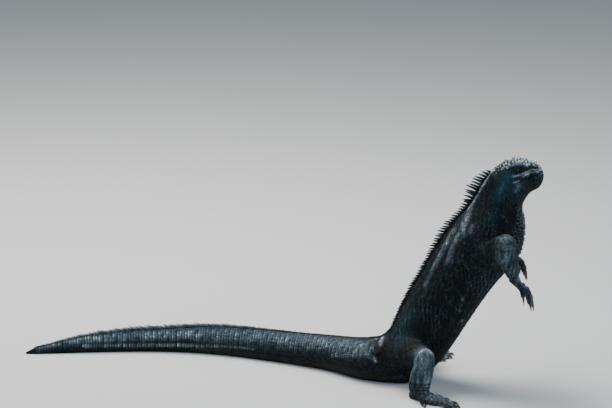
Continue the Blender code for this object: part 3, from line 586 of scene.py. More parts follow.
def crease_lines(p):
    """Fine upright wrinkles: narrow grooves where a warped wave of x crosses zero, deep in patches."""
    x, y, z = p[..., 0], np.abs(p[..., 1]), p[..., 2]
    wave = x / 6.2 + 0.55 * np.sin(z / 21 + y / 15) + 0.3 * np.sin(z / 8.3 + x / 13 + 1.7)
    wave += 0.12 * np.sin(z / 3.1 + x / 5 + 0.4)
    groove = np.abs(np.sin(math.pi * wave)) ** 0.6
    patches = 0.55 + 0.45 * np.sin(z / 27 + x / 17 + 0.9) * np.sin(y / 11 + z / 39)
    return (groove - 0.75) * patches


def ankle_folds(p):
    """1 on the ankles, 0 away from them, and the wave of the ring folds up the leg."""
    y, z = np.abs(p[..., 1]), p[..., 2]
    near = step(y, 74, 80) * step(z, 10, 15) * (1 - step(z, 25, 31))
    return near, np.abs(np.sin(math.pi * z / 4.6)) ** 0.7


def fold_heights(p):
    """Height of the loose skin's folds, creases and wrinkles at straight points, in millimetres."""
    x, y, z = p[..., 0], np.abs(p[..., 1]), p[..., 2]
    out = bells(p, FOLDS) - bells(p, CREASES)
    trunk = step(x, -70, -20) * (1 - step(z, 285, 300)) * step(y, 6, 16)
    limbs = step(y, 58, 66)
    root = step(-x, 4, 16) * (1 - step(-x, 62, 90))
    out += crease_lines(p) * (0.95 * trunk * (1 - limbs) + 0.95 * root * step(y, 8, 16))
    tail = step(-x, 90, 150) * (1 - step(-x, 420, 520)) * step(y, 4, 8)
    out -= 1.3 * np.exp(-(((z - 13.5) / 2.6) ** 2)) * tail
    ankle, wave = ankle_folds(p)
    return (out - 0.9 * ankle * wave) * step(z, 0.2, 5.0)


def cloud(p, size, seed):
    """A soft random field between 0 and 1: products of sines in turned directions, each twice as fine."""
    draw = np.random.default_rng(seed)
    total = np.zeros(p.shape[:-1])
    for octave in range(3):
        ways = draw.normal(size=(3, 3))
        ways /= np.linalg.norm(ways, axis=1, keepdims=True)
        turned = p @ ways.T * (2 * math.pi * 2**octave / size) + draw.uniform(0, 6.3, 3)
        total += np.sin(turned[..., 0]) * np.sin(turned[..., 1] + np.sin(turned[..., 2])) / 2**octave
    return np.clip(0.5 + 0.42 * total, 0, 1)


def markings(p):
    """How pale, teal and brown the hide is at straight points. Skin and coat both read these.

    Worn is a broad cloud, fibres and veins are clouds drawn out along the height, and high is the crests
    of the fine wrinkles.
    """
    worn = 0.55 + 0.9 * (cloud(p, 31, 5) - 0.5)
    head = step(p[..., 2], 294, 304)
    front = step(p[..., 0], -40, 0)
    fibres = cloud(p * (1, 1, 0.16), 8, 21)
    high = step(crease_lines(p), 0.06, 0.24) * step(p[..., 0], -75, -15) * (1 - head)
    veins = step(cloud(p * (1, 1, 0.1), 5, 23), 0.55, 0.9) * front * (1 - head)
    spots = 0.35 * step(cloud(p, 11, 8), 0.74, 0.88) * front
    # The pale mark is partly real wear and salt and partly painted highlight from the table's lit lines.
    pale = bells(p, PALE) * (0.45 + 0.8 * worn) * (head + (1 - head) * (0.15 + 1.45 * fibres))
    pale += (0.17 * high + 0.13 * veins + 0.35 * spots) * worn
    ankle, wave = ankle_folds(p)
    # Painted shade in the ankle's ring grooves: the pale is cut there, most of all in the grooves.
    pale *= 1 - ankle * (0.1 + 0.75 * wave)
    # Painted shade in the creases, such as under the brow and at the elbow: the pale is mostly taken out
    # there.
    pale *= 1 - 0.75 * np.clip(bells(p, CREASES), 0, 1)
    return {
        "pale": np.clip(pale, 0, 1.6),
        "teal": bells(p, TEAL) * (0.5 + 0.6 * cloud(p, 18, 11)),
        "brown": bells(p, BROWN) * (0.4 + 0.8 * cloud(p, 26, 3)),
    }


# Meshes


def in_scene(name, data):
    """A new object that holds the data given."""
    made = bpy.data.objects.new(name, data)
    bpy.context.scene.collection.objects.link(made)
    return made


def fill_mesh(name, points, faces, smooth_shading=True):
    """An object at the origin from millimetre points and a list of faces or an array of triangles."""
    mesh = bpy.data.meshes.new(name)
    if isinstance(faces, np.ndarray):
        corners = faces.shape[1]
        mesh.vertices.add(len(points))
        mesh.loops.add(faces.size)
        mesh.polygons.add(len(faces))
        mesh.vertices.foreach_set("co", (np.asarray(points) * MM).astype(np.float32).ravel())
        mesh.loops.foreach_set("vertex_index", faces.astype(np.int32).ravel())
        mesh.polygons.foreach_set("loop_start", np.arange(0, faces.size, corners, dtype=np.int32))
        mesh.update(calc_edges=True)
        mesh.validate()
    else:
        mesh.from_pydata((np.asarray(points) * MM).tolist(), [], faces)
    mesh.polygons.foreach_set("use_smooth", np.full(len(mesh.polygons), smooth_shading))
    return in_scene(name, mesh)


def face_out(made):
    """Turns the faces of a closed mesh outwards."""
    work = bmesh.new()
    work.from_mesh(made.data)
    bmesh.ops.recalc_face_normals(work, faces=work.faces)
    work.to_mesh(made.data)
    work.free()
    return made


def loft(name, rings):
    """A closed surface whose sides join each ring to the next, with a fan of triangles over both ends."""
    count, around, _ = rings.shape
    points = np.concatenate([rings.reshape(-1, 3), rings[0].mean(0)[None], rings[-1].mean(0)[None]])
    i, j = np.meshgrid(np.arange(count - 1) * around, np.arange(around), indexing="ij")
    k = (j + 1) % around
    sides = np.stack([i + j, i + k, i + around + k, i + around + j], axis=-1).reshape(-1, 4)
    j = np.arange(around)
    k = (j + 1) % around
    first = np.stack([j, np.full(around, count * around), k], axis=-1)
    base = (count - 1) * around
    last = np.stack([base + j, base + k, np.full(around, count * around + 1)], axis=-1)
    return face_out(fill_mesh(name, points, sides.tolist() + first.tolist() + last.tolist()))


def ring_mesh(name, rings):
    """A closed ring: each loop of points joined to the next, and the last to the first."""
    count, around, _ = rings.shape
    i, j = np.meshgrid(np.arange(count), np.arange(around), indexing="ij")
    n, k = (i + 1) % count, (j + 1) % around
    faces = np.stack([i * around + j, i * around + k, n * around + k, n * around + j], -1).reshape(-1, 4)
    return face_out(fill_mesh(name, rings.reshape(-1, 3), faces.tolist()))


def ball(name, centre, radius, segments=48, rings=32):
    """A ball whose place is in its mesh."""
    mesh = bpy.data.meshes.new(name)
    work = bmesh.new()
    bmesh.ops.create_uvsphere(work, u_segments=segments, v_segments=rings, radius=radius * MM)
    bmesh.ops.translate(work, verts=work.verts, vec=Vector(centre) * MM)
    work.to_mesh(mesh)
    work.free()
    mesh.polygons.foreach_set("use_smooth", np.full(len(mesh.polygons), True))
    return in_scene(name, mesh)


def rows_of(thing, what):
    """The places or the normals of a mesh's points, as rows."""
    flat = np.empty(len(thing.data.vertices) * 3, np.float32)
    thing.data.vertices.foreach_get(what, flat)
    return flat.reshape(-1, 3).astype(float)


def points_of(thing):
    """The mesh's points in millimetres, as rows."""
    return rows_of(thing, "co") / MM


def set_points(thing, points):
    """Moves the mesh's points to rows of millimetres."""
    thing.data.vertices.foreach_set("co", (points * MM).astype(np.float32).ravel())
    thing.data.update()


def apply_modifiers(thing):
    """Gives a thing the mesh that its modifiers make."""
    graph = bpy.context.evaluated_depsgraph_get()
    graph.update()
    made = bpy.data.meshes.new_from_object(thing.evaluated_get(graph))
    thing.modifiers.clear()
    thing.data = made


def boolean(base, other, operation):
    """Joins other to base or cuts it from base, and removes it."""
    change = base.modifiers.new("change", "BOOLEAN")
    change.operation = operation
    change.object = other
    change.solver = "MANIFOLD"
    apply_modifiers(base)
    bpy.data.objects.remove(other)


def nearest(points, target, lift=0.0):
    """Where points land when each goes to its nearest place on a mesh, or lift millimetres above it."""
    mesh = bpy.data.meshes.new("points")
    mesh.vertices.add(len(points))
    thing = in_scene("points", mesh)
    set_points(thing, points)
    wrap = thing.modifiers.new("wrap", "SHRINKWRAP")
    wrap.target = target
    wrap.wrap_method = "NEAREST_SURFACEPOINT"
    wrap.wrap_mode = "ABOVE_SURFACE" if lift else "ON_SURFACE"
    wrap.offset = lift * MM
    apply_modifiers(thing)
    landed = points_of(thing)
    bpy.data.objects.remove(thing)
    return landed


def join_round(base, other, reach, rounds):
    """Joins two closed meshes and rounds the crease between them.

    Points close to both surfaces are moved to the mean of their neighbours again and again, with a weight
    that falls to nothing at reach millimetres from the crease.
    """
    copies = [in_scene("copy", thing.data.copy()) for thing in (base, other)]
    boolean(base, other, "UNION")
    p = points_of(base)
    far = np.maximum(*(np.linalg.norm(nearest(p, copy) - p, axis=1) for copy in copies))
    weight = 0.6 * (1 - step(far, 0.35 * reach, reach))
    edges = np.empty(len(base.data.edges) * 2, np.int32)
    base.data.edges.foreach_get("vertices", edges)
    a, b = edges.reshape(-1, 2).T
    used = (weight[a] > 0) | (weight[b] > 0)
    a, b = a[used], b[used]
    count = np.bincount(a, minlength=len(p)) + np.bincount(b, minlength=len(p))
    share = (weight / np.maximum(count, 1))[:, None]
    for _ in range(rounds):
        pull = np.empty_like(p)
        for k in range(3):
            gap = p[b, k] - p[a, k]
            pull[:, k] = np.bincount(a, gap, len(p)) - np.bincount(b, gap, len(p))
        p += pull * share
    p[:, 2] = np.maximum(p[:, 2], 0)
    set_points(base, p)
    for copy in copies:
        bpy.data.objects.remove(copy)
    return base


# Limbs


def tube(stations, side, around, spacing, rows=None):
    """Points of a limb: ellipses square to a curve through its stations, with half round domes at the ends.

    With rows, gives only whole rows of the straight part, each set off by half a step from the last.
    """
    table = np.array(stations, float) * (1, side, 1, 1, 1)
    knots = run_along(table[:, :3])
    total = knots[-1]
    domes = [table[0, 3:5].mean() * 0.9, table[-1, 3:5].mean() * 0.9]
    arc = np.radians(np.linspace(10, 90, 9))
    first, last = domes[0] * (1 - np.cos(arc)), total - domes[1] * (1 - np.cos(arc[::-1]))
    count = max(int(round((last[0] - first[-1]) / spacing)), 2)
    t = np.concatenate([first, np.linspace(first[-1], last[0], count + 1)[1:-1], last])
    if rows:
        t = np.linspace(1.5, total - 1.5, rows)
    here = smooth(knots, table, t)
    ahead = smooth(knots, table, np.minimum(t + 0.5, total)) - smooth(knots, table, np.maximum(t - 0.5, 0))
    ahead = unit(ahead[:, :3])
    along = unit(np.array([1.0, 0, 0]) - ahead * ahead[:, :1])
    across = np.cross(ahead, along)
    share = np.sqrt(1 - np.clip(1 - t / domes[0], 0, 0.995) ** 2)
    share *= np.sqrt(1 - np.clip(1 - (total - t) / domes[1], 0, 0.995) ** 2)
    a = round_angles(around)[None]
    if rows:
        a = a + np.pi / around * (np.arange(rows) % 2)[:, None]
    else:
        a = np.repeat(a, len(t), axis=0)
    ring = np.cos(a)[..., None] * along[:, None] * (here[:, 3] * share)[:, None, None]
    ring = ring + np.sin(a)[..., None] * across[:, None] * (here[:, 4] * share)[:, None, None]
    return here[:, None, :3] + ring, ahead


def foot_frame(foot, side):
    """Where a foot starts, its way forward, its way inward to the body's middle, and its way up."""
    turn, slope = math.radians(foot["turn"]) * -side, math.radians(foot["slope"])
    forward = np.array([math.cos(turn) * math.cos(slope), math.sin(turn) * math.cos(slope), math.sin(slope)])
    inward = np.array([-math.sin(turn), math.cos(turn), 0.0]) * side
    up = np.array([-math.cos(turn) * math.sin(slope), -math.sin(turn) * math.sin(slope), math.cos(slope)])
    return np.array(foot["at"]) * (1, side, 1), forward, inward, up


def sole_rings(foot, side, count, around):
    """Superellipse rings of the heel and sole, between a top and a bottom height along the foot."""
    start, forward, inward, up = foot_frame(foot, side)
    table = np.array(SOLE)
    share = np.linspace(table[0, 0], table[-1, 0], count)
    _, width, top, bottom = np.hstack([share[:, None], smooth(table[:, 0], table[:, 1:], share)]).T
    a = round_angles(around)
    c, w = np.cos(a), np.sin(a)
    reach = (np.abs(c) ** 2.4 + np.abs(w) ** 2.4) ** (-1 / 2.4)
    thick = foot["thickness"]
    middle = start + forward * (foot["length"] * share)[:, None] + up * (thick * (top + bottom) / 2)[:, None]
    flat = inward * (foot["half_width"] * width[:, None] * c * reach)[..., None]
    rise = up * ((thick * (top - bottom) / 2)[:, None] * w * reach)[..., None]
    return middle[:, None] + flat + rise


def toe_line(foot, toe, side, on_floor, count):
    """Centres of one toe from its root in the sole to its end, arched over its first joint."""
    length, spread, across, share = toe
    start, forward, inward, up = foot_frame(foot, side)
    way = forward * math.cos(math.radians(spread)) + inward * math.sin(math.radians(spread))
    root = start + forward * (foot["length"] * (share - 0.16)) + inward * (foot["half_width"] * across * 0.8)
    root = root - up * (foot["thickness"] * 0.52)
    t = np.linspace(0, 1, count)
    arch = 0.08 * length * np.sin(np.pi * np.minimum(t * 1.2, 1))
    line = root + way * (length * t)[:, None]
    if on_floor:
        line[:, 2] = (1 - t) * root[2] + t * TOE_TIP_RADIUS * 0.75 + arch
        return line
    return line + up * (arch - 0.34 * length * t**2)[:, None]


def rings_on_line(line, radii, around, flatten=1.0):
    """Round rings along a line of points, each square to the line."""
    ahead = unit(np.gradient(line, axis=0))
    across = unit(np.cross((0, 0, 1), ahead))
    up = np.cross(ahead, across)
    a = round_angles(around)
    ring = np.cos(a)[None, :, None] * across[:, None] + np.sin(a)[None, :, None] * up[:, None] * flatten
    return line[:, None] + ring * np.asarray(radii)[:, None, None]


def toe_rings(foot, toe, side, on_floor):
    """A toe with a swelling at each joint and a rounded end."""
    line = toe_line(foot, toe, side, on_floor, 26)
    t = np.linspace(0, 1, 26)
    radii = TOE_RADIUS + (TOE_TIP_RADIUS - TOE_RADIUS) * t
    joints = 1 + 0.10 * np.cos(2 * np.pi * (t * 3 - 0.1)) * step(t, 0.1, 0.3)
    end = np.sqrt(1 - np.clip((t - 0.94) / 0.062, 0, 0.97) ** 2)
    return rings_on_line(line, radii * joints * end, 18)


def limb_skin(upper, lower, foot, toes, side, on_floor):
    """One whole limb: upper and lower lengths and the foot with its toes, joined with rounded creases."""
    whole = loft("foot", place(sole_rings(foot, side, 30, 44)))
    for toe in toes:
        whole = join_round(whole, loft("toe", place(toe_rings(foot, toe, side, on_floor))), 2.6, 12)
    whole = join_round(whole, loft("lower", place(tube(lower, side, 60, 1.8)[0])), 5.0, 30)
    return join_round(whole, loft("upper", place(tube(upper, side, 64, 2.0)[0])), 9.0, 60)


def whole_skin():
    """The body and four limbs as one closed skin, with lids, folds and creases."""
    lengths = [np.linspace(PLACE[start], PLACE[end], rows) for start, end, rows in SKIN_ROWS]
    u = np.unique(np.concatenate(lengths))
    t = round_angles(SKIN_ROUND)
    squeeze = 0.5 * (1 - step(u, PLACE["jowls"], PLACE["neck"]))
    v = t[None] - squeeze[:, None] * np.sin(2 * t)[None] / 2
    skin = loft("iguana_skin", place(body_surface(u, v)))
    for side in (1, -1):
        for upper, lower, foot, toes, on_floor in LIMBS:
            limb = limb_skin(upper, lower, foot, toes, side, on_floor)
            join_round(skin, limb, 15.0, 110)
        join_round(skin, ball("lids", on_side(EYE, side), EYE_RADIUS + 0.95), 2.6, 30)
    p = points_of(skin)
    p = p + rows_of(skin, "normal") * fold_heights(unplace(p))[:, None]
    p[:, 2] = np.maximum(p[:, 2], 0)
    set_points(skin, p)
    return skin


def on_side(point, side):
    """Where a point of the right side's table lies on the placed body, or its mirror image on the left."""
    return place(np.array(point) * (1, side, 1))


def eye_axes(side):
    """Ways out of the eye, along its lids to the front and up, square to one another."""
    outward = unit(np.array((0.12, -side, 0.14)))
    along = np.array((0.965, 0, 0.26))
    along = unit(along - outward * (along @ outward))
    up = np.cross(outward, along)
    return outward, along, up * np.sign(up[2])


def almond(side, long, tall, count):
    """The lids' opening round the eye's middle: half lengths long and tall, with pointed corners."""
    _, along, up = eye_axes(side)
    a = round_angles(count)
    rise = np.sign(np.sin(a)) * np.abs(np.sin(a)) ** 1.35
    return along * (long * np.cos(a))[:, None] + up * (tall * rise)[:, None]


def open_lids(skin, side):
    """Cuts the lids open along an almond, hollows the socket and rolls a thin rim round the opening."""
    centre, outward = on_side(EYE, side), eye_axes(side)[0]
    outline = centre + almond(side, *LID_OPENING, 64)
    prism = loft("opening", np.stack([outline, outline + outward * (EYE_RADIUS + 5)]))
    boolean(skin, prism, "DIFFERENCE")
    boolean(skin, ball("socket", centre, EYE_RADIUS + 0.12), "DIFFERENCE")
    flat = almond(side, LID_OPENING[0] + 0.35, LID_OPENING[1] + 0.35, 80)
    reach = np.sqrt((EYE_RADIUS + 0.72) ** 2 - np.sum(flat**2, axis=1))
    rim = centre + flat + outward * reach[:, None]
    boolean(skin, ring_mesh("rim", loop_tube(rim, 0.42, 10)), "UNION")


def open_nostril(skin, side):
    """A raised rim that follows the skin round the nostril, and the hole itself."""
    on, normal, _ = seat(on_side(NOSTRIL, side)[None], skin, 9)
    across = unit(np.cross(normal[0], (1.0, 0, 0.2)))
    along = np.cross(across, normal[0])
    a = round_angles(40)[:, None]
    loop = nearest(on[0] + 2.5 * np.cos(a) * along + 2.1 * np.sin(a) * across, skin)
    boolean(skin, ring_mesh("rim", loop_tube(loop, 0.6, 10)), "UNION")
    boolean(skin, ball("hole", on[0] - normal[0] * 0.6, NOSTRIL_RADIUS, 24, 16), "DIFFERENCE")


def loop_tube(loop, radius, around):
    """A round tube along a closed loop of points, as rings that lie square to it."""
    ahead = unit(np.roll(loop, -1, axis=0) - np.roll(loop, 1, axis=0))
    out = loop - loop.mean(0)
    out = unit(out - ahead * np.sum(out * ahead, axis=1, keepdims=True))
    square = np.cross(ahead, out)
    b = round_angles(around)
    ring = out[:, None] * np.cos(b)[None, :, None] + square[:, None] * np.sin(b)[None, :, None]
    return loop[:, None] + radius * ring


# Small forms that are repeated: points as (along, across, up), triangles, and how far each point takes wear,
# painted highlight and painted sheen


def ringed_form(levels, sides, tip, lean=0.0, square=2.0):
    """Stacked superellipse rings, each (height, radius), with a flat foot and a point at tip.

    Lean moves each ring along by lean times its height squared. The form takes wear, painted highlight and
    painted sheen towards its top.
    """
    a = 2 * np.pi * (np.arange(sides) + 0.5) / sides
    reach = (np.abs(np.cos(a)) ** square + np.abs(np.sin(a)) ** square) ** (-1 / square)
    c, s = np.cos(a) * reach, np.sin(a) * reach
    points = [np.stack([c * r + lean * h * h, s * r, np.full(sides, h)], -1) for h, r in levels]
    points.append(np.array([[lean * tip * tip, 0, tip]]))
    points.append(np.array([[0, 0, levels[0][0]]]))
    j = np.arange(sides)
    k = (j + 1) % sides
    faces = []
    for i in range(len(levels) - 1):
        low, high = i * sides, (i + 1) * sides
        faces += [np.stack([low + j, low + k, high + k], -1), np.stack([low + j, high + k, high + j], -1)]
    top, foot = len(levels) * sides, len(levels) * sides + 1
    faces.append(np.stack([top - sides + j, top - sides + k, np.full(sides, top)], -1))
    faces.append(np.stack([k, j, np.full(sides, foot)], -1))
    points = np.concatenate(points)
    return points, np.concatenate(faces), step(points[:, 2], 0, 1)


def hull_form(points, edge=None):
    """The convex hull of a few points, with 1 where it takes wear, painted highlight and painted sheen: at
    its height, or behind an edge.
    """
    work = bmesh.new()
    for p in points:
        work.verts.new(p)
    bmesh.ops.convex_hull(work, input=work.verts)
    bmesh.ops.triangulate(work, faces=work.faces)
    bmesh.ops.recalc_face_normals(work, faces=work.faces)
    work.verts.index_update()
    made = (np.array([v.co for v in work.verts]), np.array([[v.index for v in f.verts] for f in work.faces]))
    work.free()
    wear_and_highlight = np.clip(made[0][:, 2], 0, 1) if edge is None else 0.1 + 0.9 * (made[0][:, 0] > edge)
    return *made, wear_and_highlight


# A small keeled scale, and a keeled plate of the tail's rings.
KEELED = hull_form(
    ((-0.62, 0, -0.5), (0, 0.56, -0.35), (0, -0.56, -0.35), (0.66, 0, 0.7), (0.08, 0, 0.85), (0.5, 0, -0.5))
)
WHORL = hull_form(
    (
        *((-0.50, 0.44, -0.5), (-0.50, -0.44, -0.5), (0.44, 0.46, -0.5), (0.44, -0.46, -0.5)),
        *((-0.46, 0.40, 0.1), (-0.46, -0.40, 0.1), (0.2, 0.42, 0.42), (0.2, -0.42, 0.42)),
        *((0.50, 0.44, 0.5), (0.50, -0.44, 0.5), (-0.42, 0, 0.4), (0.2, 0, 0.84), (0.58, 0, 1.0)),
    ),
    0.4,
)
# A plate of the head, a squared scute, a pointed tubercle and a spine of the crest.
PLATE = ringed_form(((-0.5, 0.59), (0.3, 0.54), (0.8, 0.36)), 6, 0.95)
SCUTE = ringed_form(((-0.5, 0.50), (0.3, 0.49), (0.75, 0.37)), 8, 0.95, square=3.0)
TUBERCLE = ringed_form(((-0.3, 0.58), (0.12, 0.53), (0.45, 0.38), (0.8, 0.19)), 8, 1.0, 0.08)
SPINE = ringed_form(((-0.12, 0.62), (0.05, 0.61), (0.2, 0.52), (0.5, 0.42), (0.8, 0.27)), 6, 1.0, 0.6)


def stand(name, form, foot, normal, along, size, marks, uv, seed=1, stray=0.0, sharp=False):
    """Copies of one small form, each stood on its foot with its own axes and size, as one mesh.

    A copy's point is foot + along * length * a + across * width * b + normal * height * c. Each foot strays
    by a share of the copy's size, and pale marks are broken up copy by copy, as worn scales are.
    """
    shape, faces, rise = form
    along = unit(along - normal * np.sum(along * normal, axis=1, keepdims=True))
    across = np.cross(normal, along)
    draw = np.random.default_rng(seed)
    off = draw.normal(0, stray, (len(foot), 2)) * size[:, :2]
    foot = foot + along * off[:, :1] + across * off[:, 1:]
    points = foot[:, None] + along[:, None] * (size[:, 0:1] * shape[None, :, 0])[..., None]
    points = points + across[:, None] * (size[:, 1:2] * shape[None, :, 1])[..., None]
    points = points + normal[:, None] * (size[:, 2:3] * shape[None, :, 2])[..., None]
    points[..., 2] = np.maximum(points[..., 2], 0.0)
    every = (faces[None] + (np.arange(len(foot)) * len(shape))[:, None, None]).reshape(-1, 3)
    made = fill_mesh(name, points.reshape(-1, 3), every, not sharp)
    tone = draw.uniform(0, 1, len(foot))
    marks = dict(marks, pale=marks["pale"] * (0.5 + 0.8 * tone), tone=tone)
    for key, value in marks.items():
        give(made, key, np.repeat(value, len(shape)))
    give(made, "rise", np.tile(rise, len(foot)))
    layer = made.data.uv_layers.new(name="OFBake")
    patch = uv[:, None] + shape[None, :, :2] * 0.0022
    layer.data.foreach_set("uv", patch.reshape(-1, 2)[every.ravel()].astype(np.float32).ravel())
    return made


def give(thing, key, values):
    """Stores one number per point under a name that the materials read."""
    held = thing.data.attributes.new(key, "FLOAT", "POINT")
    held.data.foreach_set("value", np.asarray(values, np.float32))


def seat(points, skin, limit):
    """Feet and normals on the skin under points, and which of them lie close enough to belong there."""
    on = nearest(points, skin)
    normal = unit(nearest(points, skin, 1.0) - on)
    return on, normal, np.linalg.norm(on - points, axis=1) < limit


def rows_round(start, end, length, width, stagger=0.5, multiple=1):
    """Places in rows round the body: rows lie length apart, places width apart along each row.

    Length and width are tables of distance and millimetres. Rows run from the middle of the back, each set
    off from the last by stagger, with a count that is a multiple of the one given. Rows of u, v, length,
    width.
    """
    u = [start]
    while u[-1] < end:
        u.append(u[-1] + np.interp(u[-1], *np.array(length, float).T))
    u = np.array(u)
    fine = np.pi / 2 + np.linspace(0, 2 * np.pi, 361)
    ring = straight_body(u, fine)
    run = np.cumsum(np.linalg.norm(np.diff(ring, axis=1), axis=-1), axis=1)
    run = np.hstack([np.zeros((len(u), 1)), run])
    rows = []
    for i, here in enumerate(u):
        count = run[i, -1] / np.interp(here, *np.array(width, float).T)
        count = max(int(round(count / multiple)), 1) * multiple
        v = np.interp(run[i, -1] * (np.arange(count) + stagger * (i % 2)) / count, run[i], fine)
        near = np.interp(here, *np.array(length, float).T), run[i, -1] / count
        rows.append(np.column_stack([np.full(count, here), v, np.full((count, 2), near)]))
    return np.concatenate(rows)


def unwrap(u, v):
    """The place of body points on a map of the skin: distance along it and angle round it."""
    return np.column_stack([0.01 + 0.98 * u / STATIONS[-1], 0.01 + 0.98 * np.mod(v / (2 * np.pi), 1)])


def stand_kept(name, form, keep, foot, normal, along, size, flat, uv, seed, stray):
    """Sharp-edged copies of a form on the feet that are kept, marked as the straight points under them."""
    marks = {key: value[keep] for key, value in markings(flat).items()}
    chosen = (part[keep] for part in (foot, normal, along, size))
    return stand(name, form, *chosen, marks, uv[keep], seed, stray, True)


def body_scales(name, form, skin, rows, height, keep_where=None, limit=3.6, seed=2, stray=0.0):
    """Forms stood on the skin at rows of u, v, length and width, pointing to the tail, a little varied."""
    u, v, length, width = rows.T
    flat = body_surface(u, v[:, None])[:, 0]
    at = place(flat)
    way = place(body_surface(u + 1.0, v[:, None]))[:, 0] - at
    on, normal, keep = seat(at, skin, limit)
    keep &= on[:, 2] > LOWEST
    if keep_where is not None:
        keep &= keep_where(flat)
    length = length * np.linalg.norm(way, axis=1)
    size = np.column_stack([length * 1.04, width, np.broadcast_to(height, len(u))])
    size *= np.random.default_rng(seed).uniform((0.82, 0.82, 0.7), (1.16, 1.16, 1.3), (len(u), 3))
    return stand_kept(name, form, keep, on, normal, way, size, flat, unwrap(u, v), seed, stray)


def limb_scales(skin):
    """Small keeled scales in rows round every limb, foot and toe, where those stand clear of the trunk.

    Each limb's, foot's and toe's sheet of scales has its own cell of the map.
    """
    feet, ways, sizes, uvs = [], [], [], []
    cell = 0
    for side in (1, -1):
        for upper, lower, foot, toes, on_floor in LIMBS:
            sheets = []
            for bones, around in ((upper, 46), (lower, 40)):
                points, ahead = tube(bones, side, around, 2.0, rows=36)
                sheets.append((points, np.repeat(ahead[:, None], around, 1)))
            points = sole_rings(foot, side, 26, 28)
            sheets.append((points, np.gradient(points, axis=0)))
            for toe in toes:
                points = toe_rings(foot, toe, side, on_floor)[1:25, ::2]
                sheets.append((points, np.gradient(points, axis=0)))
            for points, ahead in sheets:
                rows, around, _ = points.shape
                length = np.linalg.norm(np.gradient(points, axis=0), axis=-1)
                width = np.linalg.norm(np.roll(points, -1, axis=1) - points, axis=-1)
                i, j = np.meshgrid(np.arange(rows) / rows, np.arange(around) / around, indexing="ij")
                corner = np.array([cell % 6, cell // 6]) / 6
                uvs.append((np.stack([i, j], -1) * 0.155 + corner + 0.005).reshape(-1, 2))
                sizes.append(np.stack([length, width, np.full_like(length, 0.5)], -1).reshape(-1, 3))
                feet.append(points.reshape(-1, 3))
                ways.append(ahead.reshape(-1, 3))
                cell += 1
    flat, way, size, uv = (np.concatenate(x) for x in (feet, ways, sizes, uvs))
    on, normal, keep = seat(place(flat), skin, 6.0)
    keep &= on[:, 2] > LOWEST + 0.1
    trunk = loft("trunk", place(body_surface(np.linspace(0, PLACE["end"], 400), round_angles(96))))
    near, out, _ = seat(on, trunk, 1.0)
    bpy.data.objects.remove(trunk)
    keep &= np.sum((on - near) * out, axis=1) > 3.0
    size = np.clip(size, 0.9, 3.2) * (1.04, 1.0, 1) * np.random.default_rng(9).uniform(0.8, 1.2, size.shape)
    return stand_kept("leg_scales", KEELED, keep, on, normal, way, size, flat, uv, 9, 0.08)


def crest(name):
    """Curved, flattened spines on the ridge of the back, evenly spaced, whose bases run together."""
    feet, outs, ways, sizes, places = [], [], [], [], []
    for start, end, spacing in CREST_SPACING:
        fine = np.linspace(PLACE[start], PLACE[end] - (13 if end == "end" else 0), 400)
        back = place(body_surface(fine, [math.pi / 2]))[:, 0]
        run = run_along(back)
        count = int(run[-1] / spacing)
        u = np.interp((np.arange(count) + 0.5) * run[-1] / count, run, fine)
        height = smooth([PLACE[s] + b for s, b, _ in CREST], [row[2] for row in CREST], u)[:, 0]
        lean = np.radians(np.interp(u, [PLACE[s] for s, _ in CREST_LEAN], [x for _, x in CREST_LEAN]))
        way = place(body_surface(u + 0.5, [math.pi / 2])) - place(body_surface(u - 0.5, [math.pi / 2]))
        way = unit(way[:, 0])
        flanks = place(body_surface(u, [0.0, math.pi]))
        across = flanks[:, 0] - flanks[:, 1]
        out = unit(np.cross(across, way))
        draw = np.random.default_rng(len(feet) + 20)
        height = height * draw.uniform(0.84, 1.10, count)
        lean = (lean + draw.normal(0, 0.055, count))[:, None]
        tilt = draw.normal(0, 0.05, count)[:, None] * unit(across)
        feet.append(body_surface(u, [math.pi / 2])[:, 0])
        outs.append(out * np.cos(lean) + way * np.sin(lean) + tilt)
        ways.append(way)
        thick = np.clip(1.5 + 0.1 * height, 0, 3.2)
        sizes.append(np.column_stack([np.full(count, spacing * 0.98), thick, height]))
        places.append(u)
    flat, out, way, size, u = (np.concatenate(x) for x in (feet, outs, ways, sizes, places))
    out = unit(out)
    marks = {key: 0.3 * value for key, value in markings(flat).items()}
    # Spines paler than the skin, more so on the tail's frill: partly the horn's own colour, partly painted
    # light where the frill is lit.
    marks["pale"] += 0.2 + 0.4 * step(u, PLACE["tail front"], PLACE["tail blade"])
    uv = unwrap(u, np.full(len(u), math.pi / 2))
    return stand(name, SPINE, place(flat), out, way, size, marks, uv, 4)


def crown_places():
    """Places of the tubercles on top of the head: distance from the snout, angle, size."""
    draw = np.random.default_rng(7)
    rows = np.linspace(PLACE["nose"] - 2, PLACE["occiput"] - 5, 16)
    table = []
    for i, u in enumerate(rows):
        share = (u - rows[0]) / (rows[-1] - rows[0])
        half = math.radians(36 + 11 * math.sin(math.pi * share))
        count = 5 + i % 2
        for j in range(count):
            v = math.pi / 2 + half * (2 * (j + 0.5) / count - 1) + draw.normal(0, 0.04)
            size = (2.0 + 4.6 * math.sin(math.pi * min(share * 1.1, 1)) ** 1.2) * draw.uniform(0.72, 1.2)
            table.append((u + draw.normal(0, 0.7), v, size))
    return np.array(table)


def throat_places():
    """Places of the pointed tubercles of the throat: distance from the snout, angle, size."""
    draw = np.random.default_rng(17)
    along = np.arange(PLACE["occiput"], PLACE["chest"] - 8, 4.4)
    u, v = np.meshgrid(along, np.radians(np.arange(214, 327, 7.0)))
    u = (u + draw.normal(0, 0.9, u.shape)).ravel()
    v = (v + draw.normal(0, 0.03, v.shape)).ravel()
    size = draw.uniform(1.5, 2.6, len(u))
    chosen = draw.uniform(0, 1, len(u)) < 0.72
    return np.column_stack([u, v, size])[chosen]


